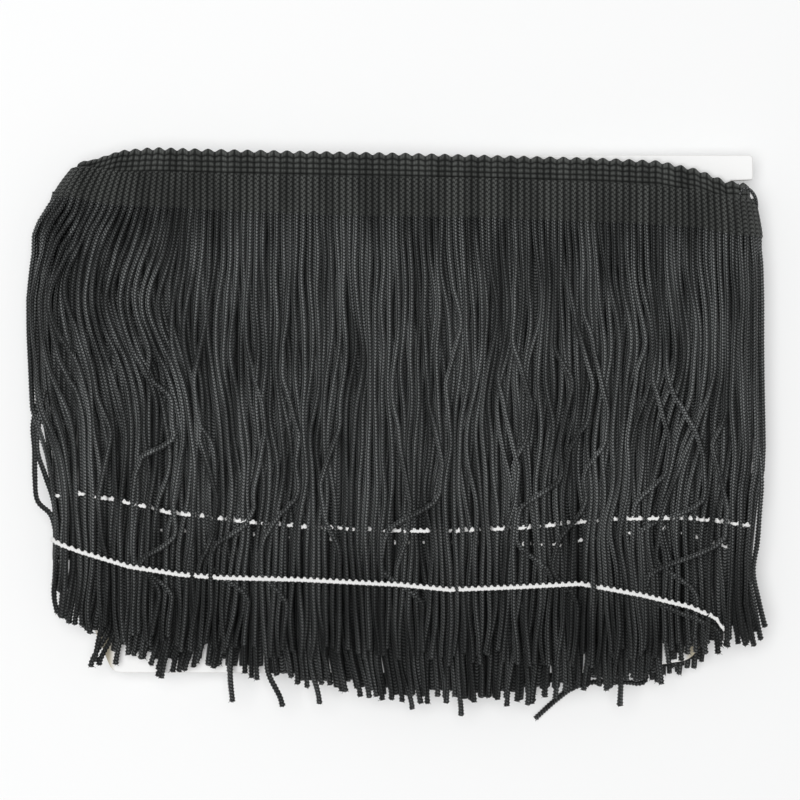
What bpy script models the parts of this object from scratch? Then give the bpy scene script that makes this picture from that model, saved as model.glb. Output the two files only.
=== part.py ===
# Chainette tassel fringe trim, wound flat in three turns round a plain white card.
# Run with: blender --background --python part.py
# X runs along the heading, +Y points to the picot edge, +Z points away from the table.
# Lengths are in millimetres up to the moment a mesh is written, when MM turns them into metres.

import math
import random
from collections import namedtuple

import bmesh
import bpy
from mathutils import Vector

MM = 0.001

# Driving dimensions
BAND_THICKNESS = 1.5
LAYER_GAP = 0.4
TURNS = 3
CARD_THICKNESS = 2.0
LEFT_TURN_X = -70.75
RIGHT_TURN_X = 72.0
CORD_PITCH = 1.435
CORD_WIDTH = 1.1
CORD_HEIGHT = 0.64
PICOT_HEIGHT = 0.65
PICOT_RIBS = 2
RIB_DEPTH = 0.15
STRIP_HEIGHT = 2.0
STRIP_CLEARANCE = 0.3
TURN_STATIONS = 8
PLAIN_STATION_STEP = 12.0
INNER_END_X = -70.2
OUTER_END_X = -74.0
CARD_BOTTOM_Y = -59.8
DROOP_FROM_Y = -60.5
DROOP_SLOPE = 0.1
JITTER_SEED = 11
TURN_CALM = 5.0
WAVE_GROWTH_DEPTH = 30.0
UNDER_WAVE_SHARE = 0.3
PUSH_PASSES = 40
END_SPLAY = 0.3
CORD_ROOM = 0.5

# The heading's lower edge and its height along each run, from the left turn to the right one
EdgeRow = namedtuple("EdgeRow", "x low height")
EDGES = {
    "front_1": [
        EdgeRow(LEFT_TURN_X, 43.9, 6.8),
        EdgeRow(-63.0, 42.3, 7.4),
        EdgeRow(-47.8, 41.7, 7.9),
        EdgeRow(-32.6, 40.7, 8.4),
        EdgeRow(-15.2, 40.0, 8.7),
        EdgeRow(17.4, 39.6, 8.7),
        EdgeRow(50.0, 38.3, 8.7),
        EdgeRow(65.2, 37.3, 8.4),
        EdgeRow(RIGHT_TURN_X, 35.8, 8.4),
    ],
    "front_2": [
        EdgeRow(LEFT_TURN_X, 43.4, 8.8),
        EdgeRow(-63.0, 45.1, 9.0),
        EdgeRow(-54.0, 45.5, 9.0),
        EdgeRow(-40.0, 45.2, 8.9),
        EdgeRow(0.0, 44.6, 8.7),
        EdgeRow(43.5, 43.5, 8.7),
        EdgeRow(56.5, 42.9, 8.7),
        EdgeRow(65.2, 41.1, 8.7),
        EdgeRow(RIGHT_TURN_X, 38.4, 8.7),
    ],
    "front_3": [
        EdgeRow(INNER_END_X, 43.6, 8.7),
        EdgeRow(0.0, 43.8, 8.7),
        EdgeRow(RIGHT_TURN_X, 38.6, 8.7),
    ],
    "back_3": [
        EdgeRow(LEFT_TURN_X, 43.0, 8.7),
        EdgeRow(0.0, 43.4, 8.7),
        EdgeRow(RIGHT_TURN_X, 38.2, 8.7),
    ],
    "back_2": [
        EdgeRow(LEFT_TURN_X, 44.4, 6.8),
        EdgeRow(0.0, 42.6, 8.7),
        EdgeRow(RIGHT_TURN_X, 37.8, 8.7),
    ],
    "back_1": [
        EdgeRow(OUTER_END_X, 40.6, 8.7),
        EdgeRow(0.0, 39.0, 8.7),
        EdgeRow(RIGHT_TURN_X, 34.9, 8.4),
    ],
}

# The order in which the trim is laid, from its end next to the card to its end on the table,
# with the spacing of the rings that draw each run. The two runs that show carry picots, and the
# front one carries ribs too.
RunRow = namedtuple("RunRow", "name station_step ribbed picot_stations")
RUNS = [
    RunRow("front_3", PLAIN_STATION_STEP, False, 0),
    RunRow("back_3", PLAIN_STATION_STEP, False, 0),
    RunRow("front_2", CORD_PITCH, False, PICOT_RIBS),
    RunRow("back_2", PLAIN_STATION_STEP, False, 0),
    RunRow("front_1", CORD_PITCH / 2, True, 2 * PICOT_RIBS),
    RunRow("back_1", PLAIN_STATION_STEP, False, 0),
]

# Sideways sweep of the front cords, in mm, at five depths below the heading
FlowRow = namedtuple("FlowRow", "root at_10 at_20 at_38 at_56 at_76")
FLOW_DEPTHS = [0.0, 10.0, 20.0, 38.0, 56.0, 76.0]
FLOW = [
    FlowRow(-80.0, 0.0, 0.0, 0.0, 0.5, 0.0),
    FlowRow(-76.0, -0.4, -0.4, 0.0, 0.8, 0.0),
    FlowRow(-70.0, -2.4, -3.4, -1.8, 1.2, 0.3),
    FlowRow(-65.0, -3.6, -5.4, -3.0, 1.6, 0.5),
    FlowRow(-58.0, -3.4, -6.4, 0.2, 1.5, 0.5),
    FlowRow(-50.0, -1.8, -5.4, 1.8, 2.2, 0.5),
    FlowRow(-40.0, -0.8, -2.2, -0.6, 0.5, 0.0),
    FlowRow(-30.0, -0.3, -0.5, 1.0, 1.2, -0.5),
    FlowRow(-15.0, 0.0, 0.3, 0.3, -1.5, -1.0),
    FlowRow(0.0, 0.0, 0.0, 0.6, 0.5, 0.0),
    FlowRow(12.0, 0.0, 1.0, 1.6, -0.3, 0.0),
    FlowRow(25.0, 0.3, 1.2, -1.4, -1.0, 0.0),
    FlowRow(35.0, 0.0, 0.5, 1.8, -1.8, -0.5),
    FlowRow(45.0, 0.5, 2.0, 1.5, 1.0, 0.0),
    FlowRow(55.0, 0.3, 1.0, 0.4, -2.6, -2.6),
    FlowRow(60.0, 0.2, 0.8, 0.8, -4.0, -5.0),
    FlowRow(65.0, 0.0, 0.6, 1.0, -3.2, -5.2),
    FlowRow(70.0, 0.0, 0.5, 0.6, -0.6, -2.4),
    FlowRow(73.0, 0.0, 0.4, 0.4, 0.3, 0.0),
    FlowRow(82.0, 0.0, 0.0, 0.0, 0.0, 0.0),
]

# Soft sideways waves: size and length along the heading in mm, then the turn of the wave in radians
# for each mm of depth and from one level of cords to the other
WaveRow = namedtuple("WaveRow", "size length drift shift")
WAVES = [
    WaveRow(0.5, 23.0, 0.07, 2.1),
    WaveRow(0.35, 14.0, -0.09, 0.8),
    WaveRow(0.25, 9.0, 0.12, 1.4),
]

# How far the cords that leave the two turns stand out past the winding, by depth
PuffRow = namedtuple("PuffRow", "depth left right")
PUFF = [
    PuffRow(0.0, 0.0, 0.0),
    PuffRow(5.0, 1.6, 0.2),
    PuffRow(15.0, 4.2, 0.5),
    PuffRow(30.0, 5.4, 0.7),
    PuffRow(46.0, 5.2, 1.5),
    PuffRow(56.0, 2.6, 0.8),
    PuffRow(70.0, 0.0, -0.8),
    PuffRow(80.0, 0.0, -1.6),
    PuffRow(90.0, 0.6, 1.0),
]

# Where the cut ends of each layer lie
EndRow = namedtuple("EndRow", "x y")
FRONT_1_ENDS = [
    EndRow(-80.0, -36.5),
    EndRow(-76.0, -38.0),
    EndRow(-73.0, -46.0),
    EndRow(-66.0, -50.5),
    EndRow(-56.0, -52.5),
    EndRow(-40.0, -54.0),
    EndRow(0.0, -56.0),
    EndRow(40.0, -56.5),
    EndRow(58.0, -55.5),
    EndRow(68.0, -52.5),
    EndRow(75.0, -53.0),
    EndRow(80.0, -52.5),
]
FRONT_2_ENDS = [
    EndRow(-76.0, -45.0),
    EndRow(-71.0, -48.5),
    EndRow(-66.4, -50.0),
    EndRow(-65.6, -57.0),
    EndRow(-61.5, -57.4),
    EndRow(-59.0, -56.0),
    EndRow(-49.0, -60.0),
    EndRow(-42.0, -58.0),
    EndRow(-30.0, -60.2),
    EndRow(-18.0, -62.8),
    EndRow(0.0, -65.4),
    EndRow(18.0, -66.0),
    EndRow(28.0, -66.0),
    EndRow(40.0, -63.0),
    EndRow(56.0, -61.5),
    EndRow(62.0, -56.5),
    EndRow(76.0, -53.0),
]
BACK_1_ENDS = [
    EndRow(-74.0, -42.0),
    EndRow(-66.0, -48.0),
    EndRow(-60.0, -54.0),
    EndRow(-50.0, -55.5),
    EndRow(-20.0, -59.5),
    EndRow(30.0, -60.2),
    EndRow(50.0, -59.6),
    EndRow(55.6, -59.8),
    EndRow(58.0, -61.4),
    EndRow(62.0, -59.6),
    EndRow(66.5, -58.4),
    EndRow(68.5, -52.0),
    EndRow(80.0, -50.0),
]

# Single cords of the second layer that stick out past their neighbours
FRONT_2_STRAYS = [
    EndRow(-63.4, -58.2),
    EndRow(-61.6, -57.9),
    EndRow(-49.4, -60.6),
    EndRow(-35.8, -66.0),
    EndRow(-28.4, -67.2),
    EndRow(-19.0, -66.5),
    EndRow(0.0, -67.6),
    EndRow(12.0, -69.0),
    EndRow(50.6, -66.9),
    EndRow(60.2, -62.0),
]

# The longest loose cord lies on the table: it leaves its neighbours where they end and runs out to the left
LONG_STRAY_ROOT = 55.0
LONG_STRAY_TURN_Y = -59.6
LONG_STRAY_COURSE = [
    EndRow(54.4, -61.9),
    EndRow(50.6, -62.6),
    EndRow(43.4, -62.5),
    EndRow(38.4, -63.8),
    EndRow(34.4, -66.6),
    EndRow(30.0, -70.6),
]

# Each fringe layer: the run that carries it, the stretch of the winding its roots cover, the pitch,
# the depths of the rings along a cord (a negative one is measured back from its cut end), where the ends
# lie and how far they scatter, whether the cords lie in two levels, and which way their flat sides face
FringeRow = namedtuple(
    "FringeRow", "name run first last pitch depths ends strays scatter two_levels flat_side"
)
FRINGES = [
    FringeRow(
        name="front_fringe", run="front_1", first=-77.0, last=79.5, pitch=CORD_PITCH,
        depths=[4.0, 14.0, 26.0, 40.0, 56.0, 75.0], ends=FRONT_1_ENDS, strays=[],
        scatter=1.6, two_levels=True, flat_side=-1,
    ),
    FringeRow(
        name="second_fringe", run="front_2", first=-73.4, last=75.4, pitch=1.6,
        depths=[4.0, 30.0, 66.0, -8.0], ends=FRONT_2_ENDS, strays=FRONT_2_STRAYS,
        scatter=1.4, two_levels=True, flat_side=-1,
    ),
    FringeRow(
        name="under_fringe", run="back_1", first=-73.0, last=77.0, pitch=1.68,
        depths=[6.0, 52.0], ends=BACK_1_ENDS, strays=[],
        scatter=0.8, two_levels=False, flat_side=1,
    ),
]

# The card's outline from its lower left corner, with both lower corners cut and a tab that stands out
# past the winding at the top right
CARD_OUTLINE = [
    (-63.0, CARD_BOTTOM_Y),
    (46.0, CARD_BOTTOM_Y),
    (63.6, -57.0),
    (68.0, -51.0),
    (72.3, -42.0),
    (72.3, 48.4),
    (76.6, 49.8),
    (76.6, 53.0),
    (-62.5, 53.2),
    (-71.4, 48.6),
    (-71.4, -42.0),
    (-67.6, -49.0),
]

MaterialRow = namedtuple("MaterialRow", "colour roughness")
MATERIALS = {
    "card_board": MaterialRow((0.84, 0.84, 0.82), 0.8),
    "knit_heading": MaterialRow((0.016, 0.017, 0.018), 0.7),
    "front_fringe_yarn": MaterialRow((0.02, 0.021, 0.022), 0.55),
    "second_fringe_yarn": MaterialRow((0.02, 0.021, 0.022), 0.55),
    "under_fringe_yarn": MaterialRow((0.02, 0.021, 0.022), 0.55),
}


def run_height(run):
    # Mid-plane of a run above the table
    side, number = run.split("_")
    step = BAND_THICKNESS + LAYER_GAP
    if side == "back":
        return BAND_THICKNESS / 2 + (int(number) - 1) * step
    card_top = TURNS * step + CARD_THICKNESS
    return card_top + LAYER_GAP + BAND_THICKNESS / 2 + (TURNS - int(number)) * step


def turn_centre_height(upper, lower):
    return (run_height(upper) + run_height(lower)) / 2


def between(rows, x, column):
    # Straight interpolation in a table whose first column rises
    if x <= rows[0][0]:
        return getattr(rows[0], column)
    for before, after in zip(rows, rows[1:]):
        if x <= after[0]:
            share = (x - before[0]) / (after[0] - before[0])
            start = getattr(before, column)
            return start + share * (getattr(after, column) - start)
    return getattr(rows[-1], column)


def picot_rise(station, stations_per_picot):
    if not stations_per_picot:
        return PICOT_HEIGHT / 2
    turn = 2 * math.pi * station / stations_per_picot
    return PICOT_HEIGHT * (1 - math.cos(turn)) / 2


def band_ring(x, z, out_x, out_z, low, height, groove):
    # The four corners of the band's section: inner low, outer low, outer top, inner top
    inner = -BAND_THICKNESS / 2
    outer = BAND_THICKNESS / 2 - groove
    return [
        Vector((x + out_x * inner, low, z + out_z * inner)),
        Vector((x + out_x * outer, low, z + out_z * outer)),
        Vector((x + out_x * outer, low + height, z + out_z * outer)),
        Vector((x + out_x * inner, low + height, z + out_z * inner)),
    ]


def run_rings(run):
    rows = EDGES[run.name]
    start, end = rows[0].x, rows[-1].x
    steps = round((end - start) / run.station_step)
    front = run.name.startswith("front")
    out_z = 1 if front else -1
    rings = []
    for index in range(steps + 1):
        x = start + (end - start) * index / steps
        height = between(rows, x, "height") + picot_rise(index, run.picot_stations)
        groove = RIB_DEPTH if run.ribbed and index % 2 else 0.0
        rings.append(band_ring(x, run_height(run.name), 0, out_z, between(rows, x, "low"), height, groove))
    return rings if front else rings[::-1]


def turn_rings(leaving, arriving):
    # Half a turn round the card's edge, from the end of one run to the start of the next
    on_right = leaving.startswith("front")
    centre_x = RIGHT_TURN_X if on_right else LEFT_TURN_X
    centre_z = turn_centre_height(leaving, arriving)
    radius = abs(run_height(leaving) - centre_z)
    row = -1 if on_right else 0
    start, end = EDGES[leaving][row], EDGES[arriving][row]
    rings = []
    for step in range(1, TURN_STATIONS):
        share = step / TURN_STATIONS
        angle = math.pi * share
        out_x = math.sin(angle) * (1 if on_right else -1)
        out_z = math.cos(angle) * (1 if on_right else -1)
        low = start.low + share * (end.low - start.low)
        height = start.height + share * (end.height - start.height) + PICOT_HEIGHT / 2
        x = centre_x + out_x * radius
        z = centre_z + out_z * radius
        rings.append(band_ring(x, z, out_x, out_z, low, height, 0.0))
    return rings


def loft(bm, rings):
    # Closes a row of four-cornered rings into one solid
    corners = [[bm.verts.new(point * MM) for point in ring] for ring in rings]
    for before, after in zip(corners, corners[1:]):
        for side in range(4):
            following = (side + 1) % 4
            bm.faces.new((before[side], after[side], after[following], before[following]))
    bm.faces.new(corners[0])
    bm.faces.new(corners[-1][::-1])


def add_object(name, bm, material, parent):
    bmesh.ops.recalc_face_normals(bm, faces=bm.faces)
    mesh = bpy.data.meshes.new(name)
    bm.to_mesh(mesh)
    bm.free()
    mesh.materials.append(material)
    thing = bpy.data.objects.new(name, mesh)
    thing.parent = parent
    bpy.context.scene.collection.objects.link(thing)
    return thing


def build_heading(material, parent):
    bm = bmesh.new()
    rings = []
    for index, run in enumerate(RUNS):
        rings += run_rings(run)
        if index + 1 < len(RUNS):
            rings += turn_rings(run.name, RUNS[index + 1].name)
    loft(bm, rings)
    return add_object("heading", bm, material, parent)


def build_card(material, parent):
    bm = bmesh.new()
    bottom = TURNS * (BAND_THICKNESS + LAYER_GAP)
    face = bm.faces.new([bm.verts.new((x * MM, y * MM, bottom * MM)) for x, y in CARD_OUTLINE])
    grown = bmesh.ops.extrude_face_region(bm, geom=[face])
    top = [item for item in grown["geom"] if isinstance(item, bmesh.types.BMVert)]
    bmesh.ops.translate(bm, verts=top, vec=(0, 0, CARD_THICKNESS * MM))
    return add_object("card", bm, material, parent)


class Winding:
    # The surface that one run and its turns lie in, measured by s, which equals x on the flat stretch

    def __init__(self, run):
        self.run = run
        self.front = run.startswith("front")
        self.up = 1 if self.front else -1
        self.height = run_height(run)
        self.right_partner = {"front_1": "back_1", "front_2": "back_2", "back_1": "front_1"}[run]
        self.left_partner = {"front_1": "back_2", "front_2": "back_3", "back_1": None}[run]
        self.right_centre = turn_centre_height(run, self.right_partner)
        self.left_centre = turn_centre_height(run, self.left_partner) if self.left_partner else None

    def frame(self, s, puff_left=0.0, puff_right=0.0):
        # Point on the mid-plane and the direction away from the card
        if s > RIGHT_TURN_X:
            return self.on_turn(RIGHT_TURN_X, self.right_centre, s - RIGHT_TURN_X, 1, puff_right)
        if s < LEFT_TURN_X and self.left_centre is not None:
            return self.on_turn(LEFT_TURN_X, self.left_centre, LEFT_TURN_X - s, -1, puff_left)
        return Vector((s, 0, self.height)), Vector((0, 0, self.up))

    def on_turn(self, centre_x, centre_z, length, side, puff):
        radius = abs(self.height - centre_z)
        angle = length / radius
        out = Vector((side * math.sin(angle), 0, self.up * math.cos(angle)))
        bulge = Vector((side * puff * math.sin(angle), 0, 0))
        return Vector((centre_x, 0, centre_z)) + out * radius + bulge, out

    def low(self, s):
        # The heading's lower edge, which passes over to the next run's along a turn
        if s > RIGHT_TURN_X:
            share = (s - RIGHT_TURN_X) / abs(self.height - self.right_centre) / math.pi
            return self.blended_low(self.right_partner, -1, share)
        if s < LEFT_TURN_X and self.left_partner:
            share = (LEFT_TURN_X - s) / abs(self.height - self.left_centre) / math.pi
            return self.blended_low(self.left_partner, 0, share)
        return between(EDGES[self.run], s, "low")

    def blended_low(self, partner, row, share):
        start = EDGES[self.run][row].low
        return start + share * (EDGES[partner][row].low - start)


def flow_at(s, depth):
    # Sweep of the front cords at one depth, read across the flow table
    columns = FlowRow._fields[1:]
    values = [0.0] + [between(FLOW, s, column) for column in columns]
    if depth >= FLOW_DEPTHS[-1]:
        return values[-1]
    for index in range(len(FLOW_DEPTHS) - 1):
        if depth <= FLOW_DEPTHS[index + 1]:
            share = (depth - FLOW_DEPTHS[index]) / (FLOW_DEPTHS[index + 1] - FLOW_DEPTHS[index])
            eased = share * share * (3 - 2 * share)
            return values[index] + eased * (values[index + 1] - values[index])
    return values[-1]


def wave_at(s, depth, level):
    # Soft sideways waves, which fade in below the heading, fade out towards the turns
    # and differ between the two levels
    inside = min(s - LEFT_TURN_X, RIGHT_TURN_X - s) / TURN_CALM
    growth = min(depth / WAVE_GROWTH_DEPTH, 1.0) * min(max(inside, 0.0), 1.0)
    total = 0.0
    for wave in WAVES:
        angle = 2 * math.pi * s / wave.length + wave.drift * depth + wave.shift * level
        total += wave.size * math.sin(angle)
    return growth * total


def push_apart(places, pitch):
    # Neighbouring cords of one level make room for each other
    for _ in range(PUSH_PASSES):
        for index in range(len(places) - 1):
            short = pitch - (places[index + 1] - places[index])
            if short > 0:
                places[index] -= short / 2
                places[index + 1] += short / 2
    return places


def droop(y):
    return max(0.0, DROOP_FROM_Y - y) * DROOP_SLOPE


def section_offsets(fringe, level, at_root):
    # Distances of a cord's flat side and of its ridge from the mid-plane, along the outward direction
    half = BAND_THICKNESS / 2
    if at_root:
        return fringe.flat_side * half, -fringe.flat_side * half
    if not fringe.two_levels:
        return half, half - CORD_HEIGHT
    if level == 0:
        return half - CORD_HEIGHT, half
    return -half, -half + CORD_HEIGHT


def cord_section(centre, out, along, fringe, level):
    # The three corners of a cord: flat side left, ridge, flat side right
    handed = 1 if fringe.name != "under_fringe" else -1
    side = out.cross(along).normalized() * handed * CORD_WIDTH / 2
    flat, ridge = section_offsets(fringe, level, False)
    return [centre + out * flat - side, centre + out * ridge, centre + out * flat + side]


def nearest_root(roots, x):
    return min(range(len(roots)), key=lambda index: abs(roots[index] - x))


def cord_rows(fringe, winding, roots, jitter):
    # Places of every cord along the winding, ring by ring
    levels = 2 if fringe.two_levels else 1
    wave_share = 1.0 if winding.front else UNDER_WAVE_SHARE
    ends = []
    for root in roots:
        ends.append(between(fringe.ends, root, "y") + jitter.uniform(-fringe.scatter, fringe.scatter))
    for stray in fringe.strays:
        ends[nearest_root(roots, stray.x)] = stray.y
    rows = []
    for ring in range(len(fringe.depths) + 1):
        row = []
        for index, root in enumerate(roots):
            last = ring == len(fringe.depths)
            depth = ring_depths(fringe, winding, root, ends[index])[ring]
            level = index % levels
            flow = flow_at(root, depth) if winding.front else 0.0
            splay = jitter.uniform(-END_SPLAY, END_SPLAY) if last else 0.0
            row.append(root + flow + wave_at(root, depth, level) * wave_share + splay)
        for level in range(levels):
            row[level::levels] = push_apart(row[level::levels], CORD_WIDTH + CORD_ROOM)
        rows.append(row)
    return rows, ends


def root_level(winding, s):
    # Underside of the narrow strip that the cords grow from
    return winding.low(s) - STRIP_CLEARANCE - STRIP_HEIGHT


def ring_depths(fringe, winding, root, end):
    length = root_level(winding, root) - end
    return [depth if depth > 0 else length + depth for depth in fringe.depths] + [length]


def strip_rings(bm, fringe, winding, roots):
    # The narrow strip: two corners of each root on its flat side, one on the other, and one pair on top
    flat, ridge = section_offsets(fringe, 0, True)
    rings = []
    for root in roots:
        corners = []
        for offset, shift in ((flat, -CORD_WIDTH / 2), (ridge, 0.0), (flat, CORD_WIDTH / 2)):
            point, out = winding.frame(root + shift)
            point = point + out * offset
            point.y = root_level(winding, root + shift)
            corners.append(bm.verts.new(point * MM))
        for offset in (ridge, flat):
            point, out = winding.frame(root)
            point = point + out * offset
            point.y = root_level(winding, root) + STRIP_HEIGHT
            corners.append(bm.verts.new(point * MM))
        rings.append(corners)
    return rings


def strip_faces(bm, rings):
    # Returns the root face of every cord, ready to be extruded
    root_faces = []
    for left, ridge, right, top_ridge, top_flat in rings:
        root_faces.append(bm.faces.new((left, ridge, right)))
        bm.faces.new((left, right, top_flat))
    for before, after in zip(rings, rings[1:]):
        bm.faces.new((before[2], before[1], after[1]))
        bm.faces.new((before[2], after[1], after[0]))
        bm.faces.new((before[2], after[0], after[4], before[4]))
        bm.faces.new((before[1], before[3], after[3], after[1]))
        bm.faces.new((before[3], before[4], after[4], after[3]))
    first, last = rings[0], rings[-1]
    bm.faces.new((first[0], first[4], first[3], first[1]))
    bm.faces.new((last[2], last[1], last[3], last[4]))
    return root_faces


def cord_points(fringe, winding, root, index, rows, end):
    # Centre points of one cord below its root, each with its outward direction
    points = []
    for row, depth in zip(rows, ring_depths(fringe, winding, root, end)):
        left = between(PUFF, depth, "left")
        right = between(PUFF, depth, "right")
        point, out = winding.frame(row[index], left, right)
        point.y = root_level(winding, root) - depth
        if winding.front:
            point.z -= droop(point.y)
        points.append((point, out))
    return points


def long_stray(winding, points):
    # Leads a cord past its neighbours' ends and along its own course
    out = points[-1][1]
    start = Vector((points[-2][0].x, LONG_STRAY_TURN_Y, winding.height))
    course = [start] + [Vector((row.x, row.y, winding.height)) for row in LONG_STRAY_COURSE]
    return points[:-1] + [(point, out) for point in course]


def extrude_cord(bm, face, sections):
    for section in sections:
        grown = bmesh.ops.extrude_discrete_faces(bm, faces=[face])
        face = grown["faces"][0]
        for vertex, corner in zip(face.verts, section):
            vertex.co = corner * MM


def build_fringe(fringe, material, parent):
    winding = Winding(fringe.run)
    jitter = random.Random(JITTER_SEED)
    count = int((fringe.last - fringe.first) / fringe.pitch) + 1
    roots = [fringe.first + index * fringe.pitch for index in range(count)]
    rows, ends = cord_rows(fringe, winding, roots, jitter)
    longest = nearest_root(roots, LONG_STRAY_ROOT) if fringe.name == "under_fringe" else None
    bm = bmesh.new()
    faces = strip_faces(bm, strip_rings(bm, fringe, winding, roots))
    levels = 2 if fringe.two_levels else 1
    for index, (face, root) in enumerate(zip(faces, roots)):
        points = cord_points(fringe, winding, root, index, rows, ends[index])
        if index == longest:
            points = long_stray(winding, points)
        start, out = winding.frame(root)
        start.y = root_level(winding, root)
        trail = [(start, out)] + points
        sections = []
        for place in range(1, len(trail)):
            before = trail[place - 1][0]
            after = trail[min(place + 1, len(trail) - 1)][0]
            along = (after - before).normalized()
            centre, out = trail[place]
            sections.append(cord_section(centre, out, along, fringe, index % levels))
        extrude_cord(bm, face, sections)
    return add_object(fringe.name, bm, material, parent)


def make_material(name):
    look = MATERIALS[name]
    material = bpy.data.materials.new(name)
    material.use_nodes = True
    shader = material.node_tree.nodes["Principled BSDF"]
    shader.inputs["Base Color"].default_value = (*look.colour, 1.0)
    shader.inputs["Roughness"].default_value = look.roughness
    shader.inputs["Metallic"].default_value = 0.0
    return material


def stand_on_origin(parent, things):
    # The origin is the middle of the footprint, at table level
    corners = [vertex.co for thing in things for vertex in thing.data.vertices]
    for axis in range(2):
        values = [corner[axis] for corner in corners]
        parent.location[axis] = -(min(values) + max(values)) / 2


def main():
    for thing in list(bpy.data.objects):
        bpy.data.objects.remove(thing)
    parent = bpy.data.objects.new("trim_origin", None)
    bpy.context.scene.collection.objects.link(parent)
    things = [
        build_card(make_material("card_board"), parent),
        build_heading(make_material("knit_heading"), parent),
    ]
    for fringe in FRINGES:
        things.append(build_fringe(fringe, make_material(fringe.name + "_yarn"), parent))
    stand_on_origin(parent, things)


main()
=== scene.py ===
import math

import bmesh
import bpy
import numpy as np
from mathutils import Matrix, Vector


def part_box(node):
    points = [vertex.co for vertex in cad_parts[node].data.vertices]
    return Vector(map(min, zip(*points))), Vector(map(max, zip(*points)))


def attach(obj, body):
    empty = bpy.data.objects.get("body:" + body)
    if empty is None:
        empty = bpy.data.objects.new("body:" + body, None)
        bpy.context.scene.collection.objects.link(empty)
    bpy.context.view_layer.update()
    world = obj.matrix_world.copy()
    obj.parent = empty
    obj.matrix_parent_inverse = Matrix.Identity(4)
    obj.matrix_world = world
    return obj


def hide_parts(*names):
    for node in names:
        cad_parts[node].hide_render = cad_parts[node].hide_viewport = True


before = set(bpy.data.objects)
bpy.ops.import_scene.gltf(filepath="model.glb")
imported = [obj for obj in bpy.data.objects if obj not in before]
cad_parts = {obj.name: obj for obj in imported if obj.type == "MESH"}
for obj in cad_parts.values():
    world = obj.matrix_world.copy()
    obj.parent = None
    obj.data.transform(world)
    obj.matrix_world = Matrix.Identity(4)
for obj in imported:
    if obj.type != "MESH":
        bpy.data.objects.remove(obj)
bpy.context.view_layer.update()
print("stage: frame loaded,", len(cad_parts), "nodes")

# Lengths below are in millimetres, in the drawing's own frame: X along the heading, +Y to its picot edge.
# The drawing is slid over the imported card, whose box gives the shift.
mm = 0.001
windSettings = {
    "bandThickness": 1.5, "layerGap": 0.4, "turns": 3, "cardThickness": 2.0, "leftTurnX": -70.75,
    "rightTurnX": 72.0, "ribPitch": 1.435, "ribPhaseX": -77.0, "cardLeftX": -71.4, "cardBottomY": -59.8,
    "rightPartner": {
        "front_1": "back_1", "front_2": "back_2", "front_3": "back_3", "back_1": "front_1",
        "back_2": "front_2", "back_3": "front_3",
    },
    "leftPartner": {"front_1": "back_2", "front_2": "back_3", "back_2": "front_1", "back_3": "front_2"},
}
cardLow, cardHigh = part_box("card")
shiftX = cardLow[0] / mm - windSettings["cardLeftX"]
shiftY = cardLow[1] / mm - windSettings["cardBottomY"]
print("stage: drawing shifted by", round(shiftX, 3), round(shiftY, 3), "mm")

# Each run of the heading, from its left turn to its right one: x, lower edge, height
headingEdges = {
    "front_1": [(-70.75, 43.9, 6.8), (-63, 42.3, 7.4), (-47.8, 41.7, 7.9), (-32.6, 40.7, 8.4),
                (-15.2, 40, 8.7), (17.4, 39.6, 8.7), (50, 38.3, 8.7), (65.2, 37.3, 8.4), (72, 35.8, 8.4)],
    "front_2": [(-70.75, 43.4, 8.8), (-63, 45.1, 9), (-54, 45.5, 9), (-40, 45.2, 8.9), (0, 44.6, 8.7),
                (43.5, 43.5, 8.7), (56.5, 42.9, 8.7), (65.2, 41.1, 8.7), (72, 38.4, 8.7)],
    "front_3": [(-70.2, 43.6, 8.7), (0, 43.8, 8.7), (72, 38.6, 8.7)],
    "back_3": [(-70.75, 43, 8.7), (0, 43.4, 8.7), (72, 38.2, 8.7)],
    "back_2": [(-70.75, 44.4, 6.8), (0, 42.6, 8.7), (72, 37.8, 8.7)],
    "back_1": [(-74, 40.6, 8.7), (0, 39, 8.7), (72, 34.9, 8.4)],
}


def runHeight(run):  # mid-plane above the table
    side, number = run.split("_")
    step = windSettings["bandThickness"] + windSettings["layerGap"]
    if side == "back":
        return windSettings["bandThickness"] / 2 + (int(number) - 1) * step
    cardTop = windSettings["turns"] * step + windSettings["cardThickness"]
    above = (windSettings["turns"] - int(number)) * step
    return cardTop + windSettings["layerGap"] + windSettings["bandThickness"] / 2 + above


def turnsOf(run):  # for each turn: side, where it starts, the run it leads to, centre height and radius
    found = []
    for side, edge, partners in ((1, windSettings["rightTurnX"], windSettings["rightPartner"]),
                                 (-1, windSettings["leftTurnX"], windSettings["leftPartner"])):
        if run in partners:
            centre = (runHeight(run) + runHeight(partners[run])) / 2
            found.append((side, edge, partners[run], centre, abs(runHeight(run) - centre)))
    return found


def windingPlace(run, s, puffLeft=0.0, puffRight=0.0):
    # Mid-plane place and outward direction on a run and its turns, where s is x on the flat stretch
    up = 1.0 if run.startswith("front") else -1.0
    x, z = np.array(s, float), np.full(np.shape(s), runHeight(run))
    outX, outZ = np.zeros(np.shape(s)), np.full(np.shape(s), up)
    for side, edge, partner, centre, radius in turnsOf(run):
        length = np.maximum(side * (s - edge), 0.0)
        angle = length / radius
        past = length > 0
        puff = puffRight if side > 0 else puffLeft
        x = np.where(past, edge + side * np.sin(angle) * (radius + puff), x)
        z = np.where(past, centre + up * radius * np.cos(angle), z)
        outX = np.where(past, side * np.sin(angle), outX)
        outZ = np.where(past, up * np.cos(angle), outZ)
    return x, z, outX, outZ


def readEdge(run, s, column):  # lower edge (1) or height (2), which pass over to the next run's on a turn
    rows = np.array(headingEdges[run])
    value = np.interp(s, rows[:, 0], rows[:, column])
    for side, edge, partner, centre, radius in turnsOf(run):
        share = np.maximum(side * (s - edge), 0.0) / radius / math.pi
        last = -1 if side > 0 else 0
        value = value + share * (headingEdges[partner][last][column] - rows[last, column])
    return value


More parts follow.
